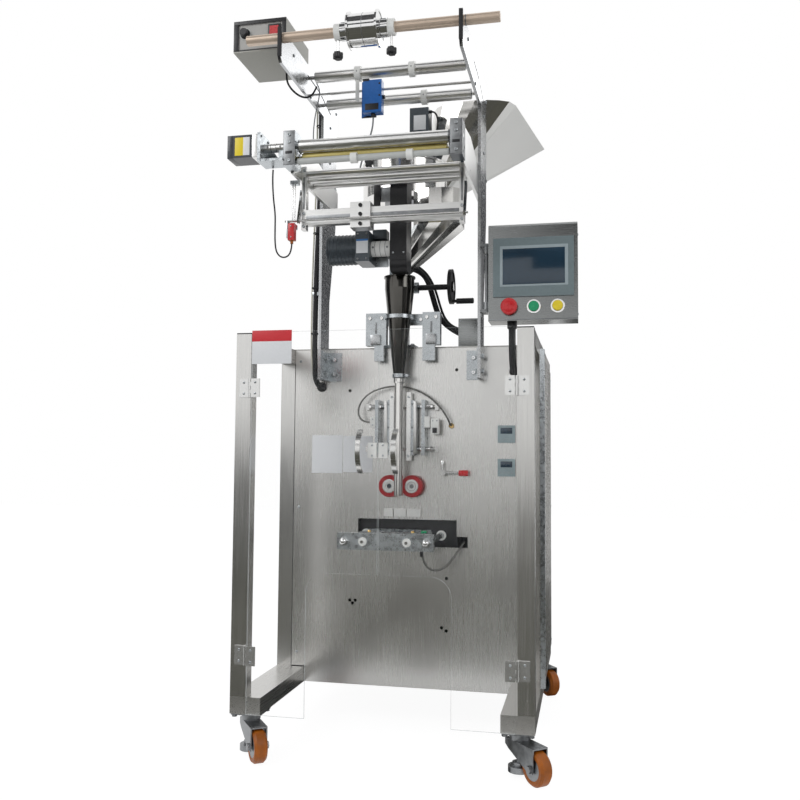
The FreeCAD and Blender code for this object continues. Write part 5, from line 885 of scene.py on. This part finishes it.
def dress_frame():
    for name, x in (("left", (-375, -335)), ("right", (335, 375))):
        block("post_cap_" + name, x, (0.4, 40), (1054, 1057), "black_plastic")
    blocks("panel_seals", [((-335, -333.2), (341, 346), (152, 1012)), ((333.2, 335), (341, 346), (152, 1012))],
           "black_plastic")
    screws("cover_screws", "X", 1, 377, [(y, z) for y in (380, 850) for z in (160, 590, 1000)], 4, 1.8, "zinc")
    screws("grip_screws", "X", 1, 389, [(222, 175), (222, 595), (222, 1015)], 3, 1, "zinc_dark")


def dress_loom():
    wire("cream_lead", [(-265, 298, 1766), (-265, 303, 1610), (-265, 292, 1450), (-265, 275, 1290), (-266, 275,
         1150), (-268, 281, 1050), (-266, 288, 990), (-262, 304, 955), (-258, 330, 948)], 2.4, "cream_lead")
    places = [(1700, (-257, 303)), (1545, (-257, 300)), (1380, (-257, 286)), (1220, (-257, 279)),
              (1090, (-258, 281))]
    rings("loom_ties", "Z", places, 9.6, 11.4, 4, "black_plastic")
    blocks("loom_clips", [((-262, -243), (300, 312), (1640, 1650)), ((-264, -243), (272, 286), (1200, 1210))],
           "zinc")


# Free leads: each follows the same points as its solid


def cord(node, points, diameter, material, body):
    piece = line_object(node + "_line", points, diameter / 2, material, 3)
    keep(piece, body)
    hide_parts(node)
    return piece


def free_leads():
    x, front, z = FILM_X - 85, 301.0, 842.0
    hole_x, hole_z = 126.0, 833.0
    arc = [(x - 0.3, front, z), (x - 22, front, z), (x - 38, front + 1, z + 24), (x - 30, front + 2, z + 58),
           (x + 2, front + 5, z + 88), (x + 56, front + 7, z + 102), (x + 112, front + 7, z + 98),
           (x + 164, front + 5, z + 74), (x + 200, front + 1, z + 40), (hole_x - 4, front + 4, z + 8),
           (hole_x, front + 17, hole_z), (hole_x, 341, hole_z)]
    cord("sealer_conduit", arc, 5.0, "braid", "frame")
    x, y, z = FILM_X + 78, 222.0, 509.0
    loop = [(x, y, z - 0.3), (x + 1, y, z - 20), (x + 6, y + 4, z - 44), (x + 20, y + 12, z - 62),
            (x + 42, y + 28, z - 66), (x + 62, y + 46, z - 54), (x + 76, y + 62, z - 34), (159, 306, 503),
            (162, 326, 510), (162, 346, 511)]
    cord("jaw_cable", loop, 6.0, "braid", "frame")
    x, y, low = -246.0, 40.0, 1292.0
    lead = [(x, y, low - 0.3), (x - 1, y, low - 18), (x - 10, y - 1, low - 34), (x - 27, y - 3, low - 36),
            (x - 40, y - 5, low - 22), (x - 43, y - 8, low + 4), (x - 41, y - 14, low + 38),
            (x - 38, y - 22, low + 74), (x - 41, y - 30, low + 112), (x - 42, y - 36, 1453),
            (x - 40, y - 38, 1476.7)]
    cord("switch_lead", lead, 4.0, "rubber_black", "frame")


for part in (dress_case, dress_arms, dress_reel, dress_upper_rollers, dress_eye, dress_feed, dress_bars,
             dress_switch, dress_metering, dress_crank, dress_funnel, dress_sealers, dress_draw_rollers,
             dress_jaws, dress_panel,
             dress_doors, dress_box, dress_frame, dress_loom, free_leads):
    part()

# Camera, light and floor

YAW, PITCH, ROLL = math.radians(12.19), math.radians(3.77), math.radians(0.43)
FOCAL_PIXELS = 870.6
FRAME_PIXELS = 800


def make_camera():
    """The photograph's camera, from the angles solved from the machine's straight edges."""
    ahead = Vector((-math.sin(YAW) * math.cos(PITCH), math.cos(YAW) * math.cos(PITCH), math.sin(PITCH)))
    right = Vector((math.cos(YAW), math.sin(YAW), 0))
    up = right.cross(ahead)
    side = math.cos(ROLL) * right + math.sin(ROLL) * up
    top = math.cos(ROLL) * up - math.sin(ROLL) * right
    data = bpy.data.cameras.new("camera")
    data.sensor_width = 36
    data.lens = data.sensor_width * FOCAL_PIXELS / FRAME_PIXELS
    data.clip_end = 50
    camera = bpy.data.objects.new("camera", data)
    bpy.context.scene.collection.objects.link(camera)
    turn = Matrix((side, top, -ahead)).transposed().to_4x4()
    camera.matrix_world = Matrix.Translation(at(497.85, -2066.18, 744.04)) @ turn
    bpy.context.scene.camera = camera


def area_light(name, place, target, size, power, colour=(1, 1, 1)):
    data = bpy.data.lights.new(name, "AREA")
    data.shape = "RECTANGLE"
    data.size, data.size_y = size
    data.energy = power
    data.color = colour
    light = bpy.data.objects.new(name, data)
    bpy.context.scene.collection.objects.link(light)
    light.location = place
    light.rotation_euler = (Vector(target) - Vector(place)).to_track_quat("-Z", "Y").to_euler()
    return light


def background(tree, colour, strength):
    node = tree.nodes.new("ShaderNodeBackground")
    node.inputs["Color"].default_value = (*colour, 1)
    node.inputs["Strength"].default_value = strength
    return node.outputs["Background"]


def seen_directly(tree):
    """1 for camera, glossy and transmission rays, else 0."""
    path = tree.nodes.new("ShaderNodeLightPath")
    value = path.outputs["Is Camera Ray"]
    for output in ("Is Glossy Ray", "Is Transmission Ray"):
        node = tree.nodes.new("ShaderNodeMath")
        node.operation = "MAXIMUM"
        tree.links.new(value, node.inputs[0])
        tree.links.new(path.outputs[output], node.inputs[1])
        value = node.outputs["Value"]
    return value


def make_world():
    world = bpy.data.worlds.new("studio")
    bpy.context.scene.world = world
    world.use_nodes = True
    tree = world.node_tree
    tree.nodes.clear()
    output = tree.nodes.new("ShaderNodeOutputWorld")
    mix = tree.nodes.new("ShaderNodeMixShader")
    tree.links.new(seen_directly(tree), mix.inputs["Fac"])
    tree.links.new(background(tree, (0.95, 0.97, 1.0), 0.50), mix.inputs[1])
    tree.links.new(background(tree, (1, 1, 1), 1.0), mix.inputs[2])
    tree.links.new(mix.outputs["Shader"], output.inputs["Surface"])


def quad(name, corners, material):
    data = bpy.data.meshes.new(name)
    data.from_pydata([tuple(corner) for corner in corners], [], [tuple(range(len(corners)))])
    data.materials.append(material)
    piece = bpy.data.objects.new(name, data)
    bpy.context.scene.collection.objects.link(piece)
    return piece


def make_floor():
    """A pale floor that shows white and keeps the machine's shadow."""
    material = bpy.data.materials.new("floor")
    material.use_nodes = True
    tree = material.node_tree
    shader = tree.nodes["Principled BSDF"]
    shader.inputs["Roughness"].default_value = 0.9
    speck = noise(tree, 40)
    tree.links.new(ramp(tree, speck, 0.97, 1.0), shader.inputs["Base Color"])
    glow = tree.nodes.new("ShaderNodeEmission")
    glow.inputs["Strength"].default_value = 1.1
    mix = tree.nodes.new("ShaderNodeMixShader")
    share = tree.nodes.new("ShaderNodeMath")
    share.operation = "MULTIPLY"
    share.inputs[1].default_value = 0.86
    tree.links.new(seen_directly(tree), share.inputs[0])
    tree.links.new(share.outputs["Value"], mix.inputs["Fac"])
    tree.links.new(shader.outputs["BSDF"], mix.inputs[1])
    tree.links.new(glow.outputs["Emission"], mix.inputs[2])
    tree.links.new(mix.outputs["Shader"], tree.nodes["Material Output"].inputs["Surface"])
    reach = 9.0
    corners = [(-reach, -reach, 0), (reach, -reach, 0), (reach, reach, 0), (-reach, reach, 0)]
    quad("floor", corners, material)


def studio_flag(name, corners, shade):
    """A dark card outside the view that gives bare metal something to reflect."""
    material = surface(name, shade, 0.9, 0.0, 3, EVEN, 0.2)
    card = quad(name, corners, material)
    card.visible_camera = False
    card.visible_diffuse = False
    card.visible_shadow = False
    card.visible_transmission = False


make_camera()
make_world()
make_floor()
area_light("key", (-2.6, -3.0, 3.2), (0, 0, 1.0), (1.6, 1.6), 48)
area_light("fill", (3.0, -2.2, 2.2), (0, 0, 0.9), (1.6, 1.6), 20)
area_light("rim", (0.5, 3.4, 3.0), (0, 0, 1.2), (2.0, 1.2), 12)
studio_flag("flag_floor", [(-16, -26, 0.004), (16, -26, 0.004), (16, -0.62, 0.004), (-16, -0.62, 0.004)],
            (0.11, 0.107, 0.085))
studio_flag("flag_floor_back",
            [(-0.35, -0.35, 0.004), (2.4, -0.35, 0.004), (2.4, 3.1, 0.004), (-0.35, 3.1, 0.004)],
            (0.10, 0.10, 0.09))
studio_flag("flag_front", [(-3.0, -4.6, 2.9), (0.0, -4.6, 2.9), (0.0, -4.6, 2.0), (3.0, -4.6, 2.0),
                           (3.0, -4.4, 3.6), (-3.0, -4.4, 3.6)],
            (0.09, 0.09, 0.09))
studio_flag("flag_front_left", [(-4.2, -3.4, 0.0), (-1.5, -4.4, 0.0), (-1.5, -4.4, 0.8), (-4.2, -3.4, 0.8)],
            (0.14, 0.14, 0.13))
studio_flag("flag_back_low", [(0.30, 3.2, 0.0), (0.92, 3.2, 0.0), (0.92, 3.2, 1.4), (0.30, 3.2, 1.4)],
            (0.08, 0.08, 0.075))
studio_flag("flag_back_high", [(0.05, 3.2, 1.4), (2.6, 3.2, 1.4), (2.6, 3.2, 2.7), (0.05, 3.2, 2.7)],
            (0.08, 0.08, 0.085))
studio_flag("flag_right", [(2.6, -3.9, 0.0), (4.4, -1.6, 0.0), (4.4, -1.6, 2.4), (2.6, -3.9, 2.4)],
            (0.12, 0.12, 0.12))
studio_flag("flag_left", [(-4.2, -1.4, 0.0), (-4.2, 1.4, 0.0), (-4.2, 1.4, 2.6), (-4.2, -1.4, 2.6)],
            (0.12, 0.12, 0.12))
studio_flag("flag_top", [(-2.0, -2.6, 3.6), (2.0, -2.6, 3.6), (2.0, -0.6, 4.2), (-2.0, -0.6, 4.2)],
            (0.12, 0.12, 0.12))
bpy.context.scene.view_settings.view_transform = "Standard"
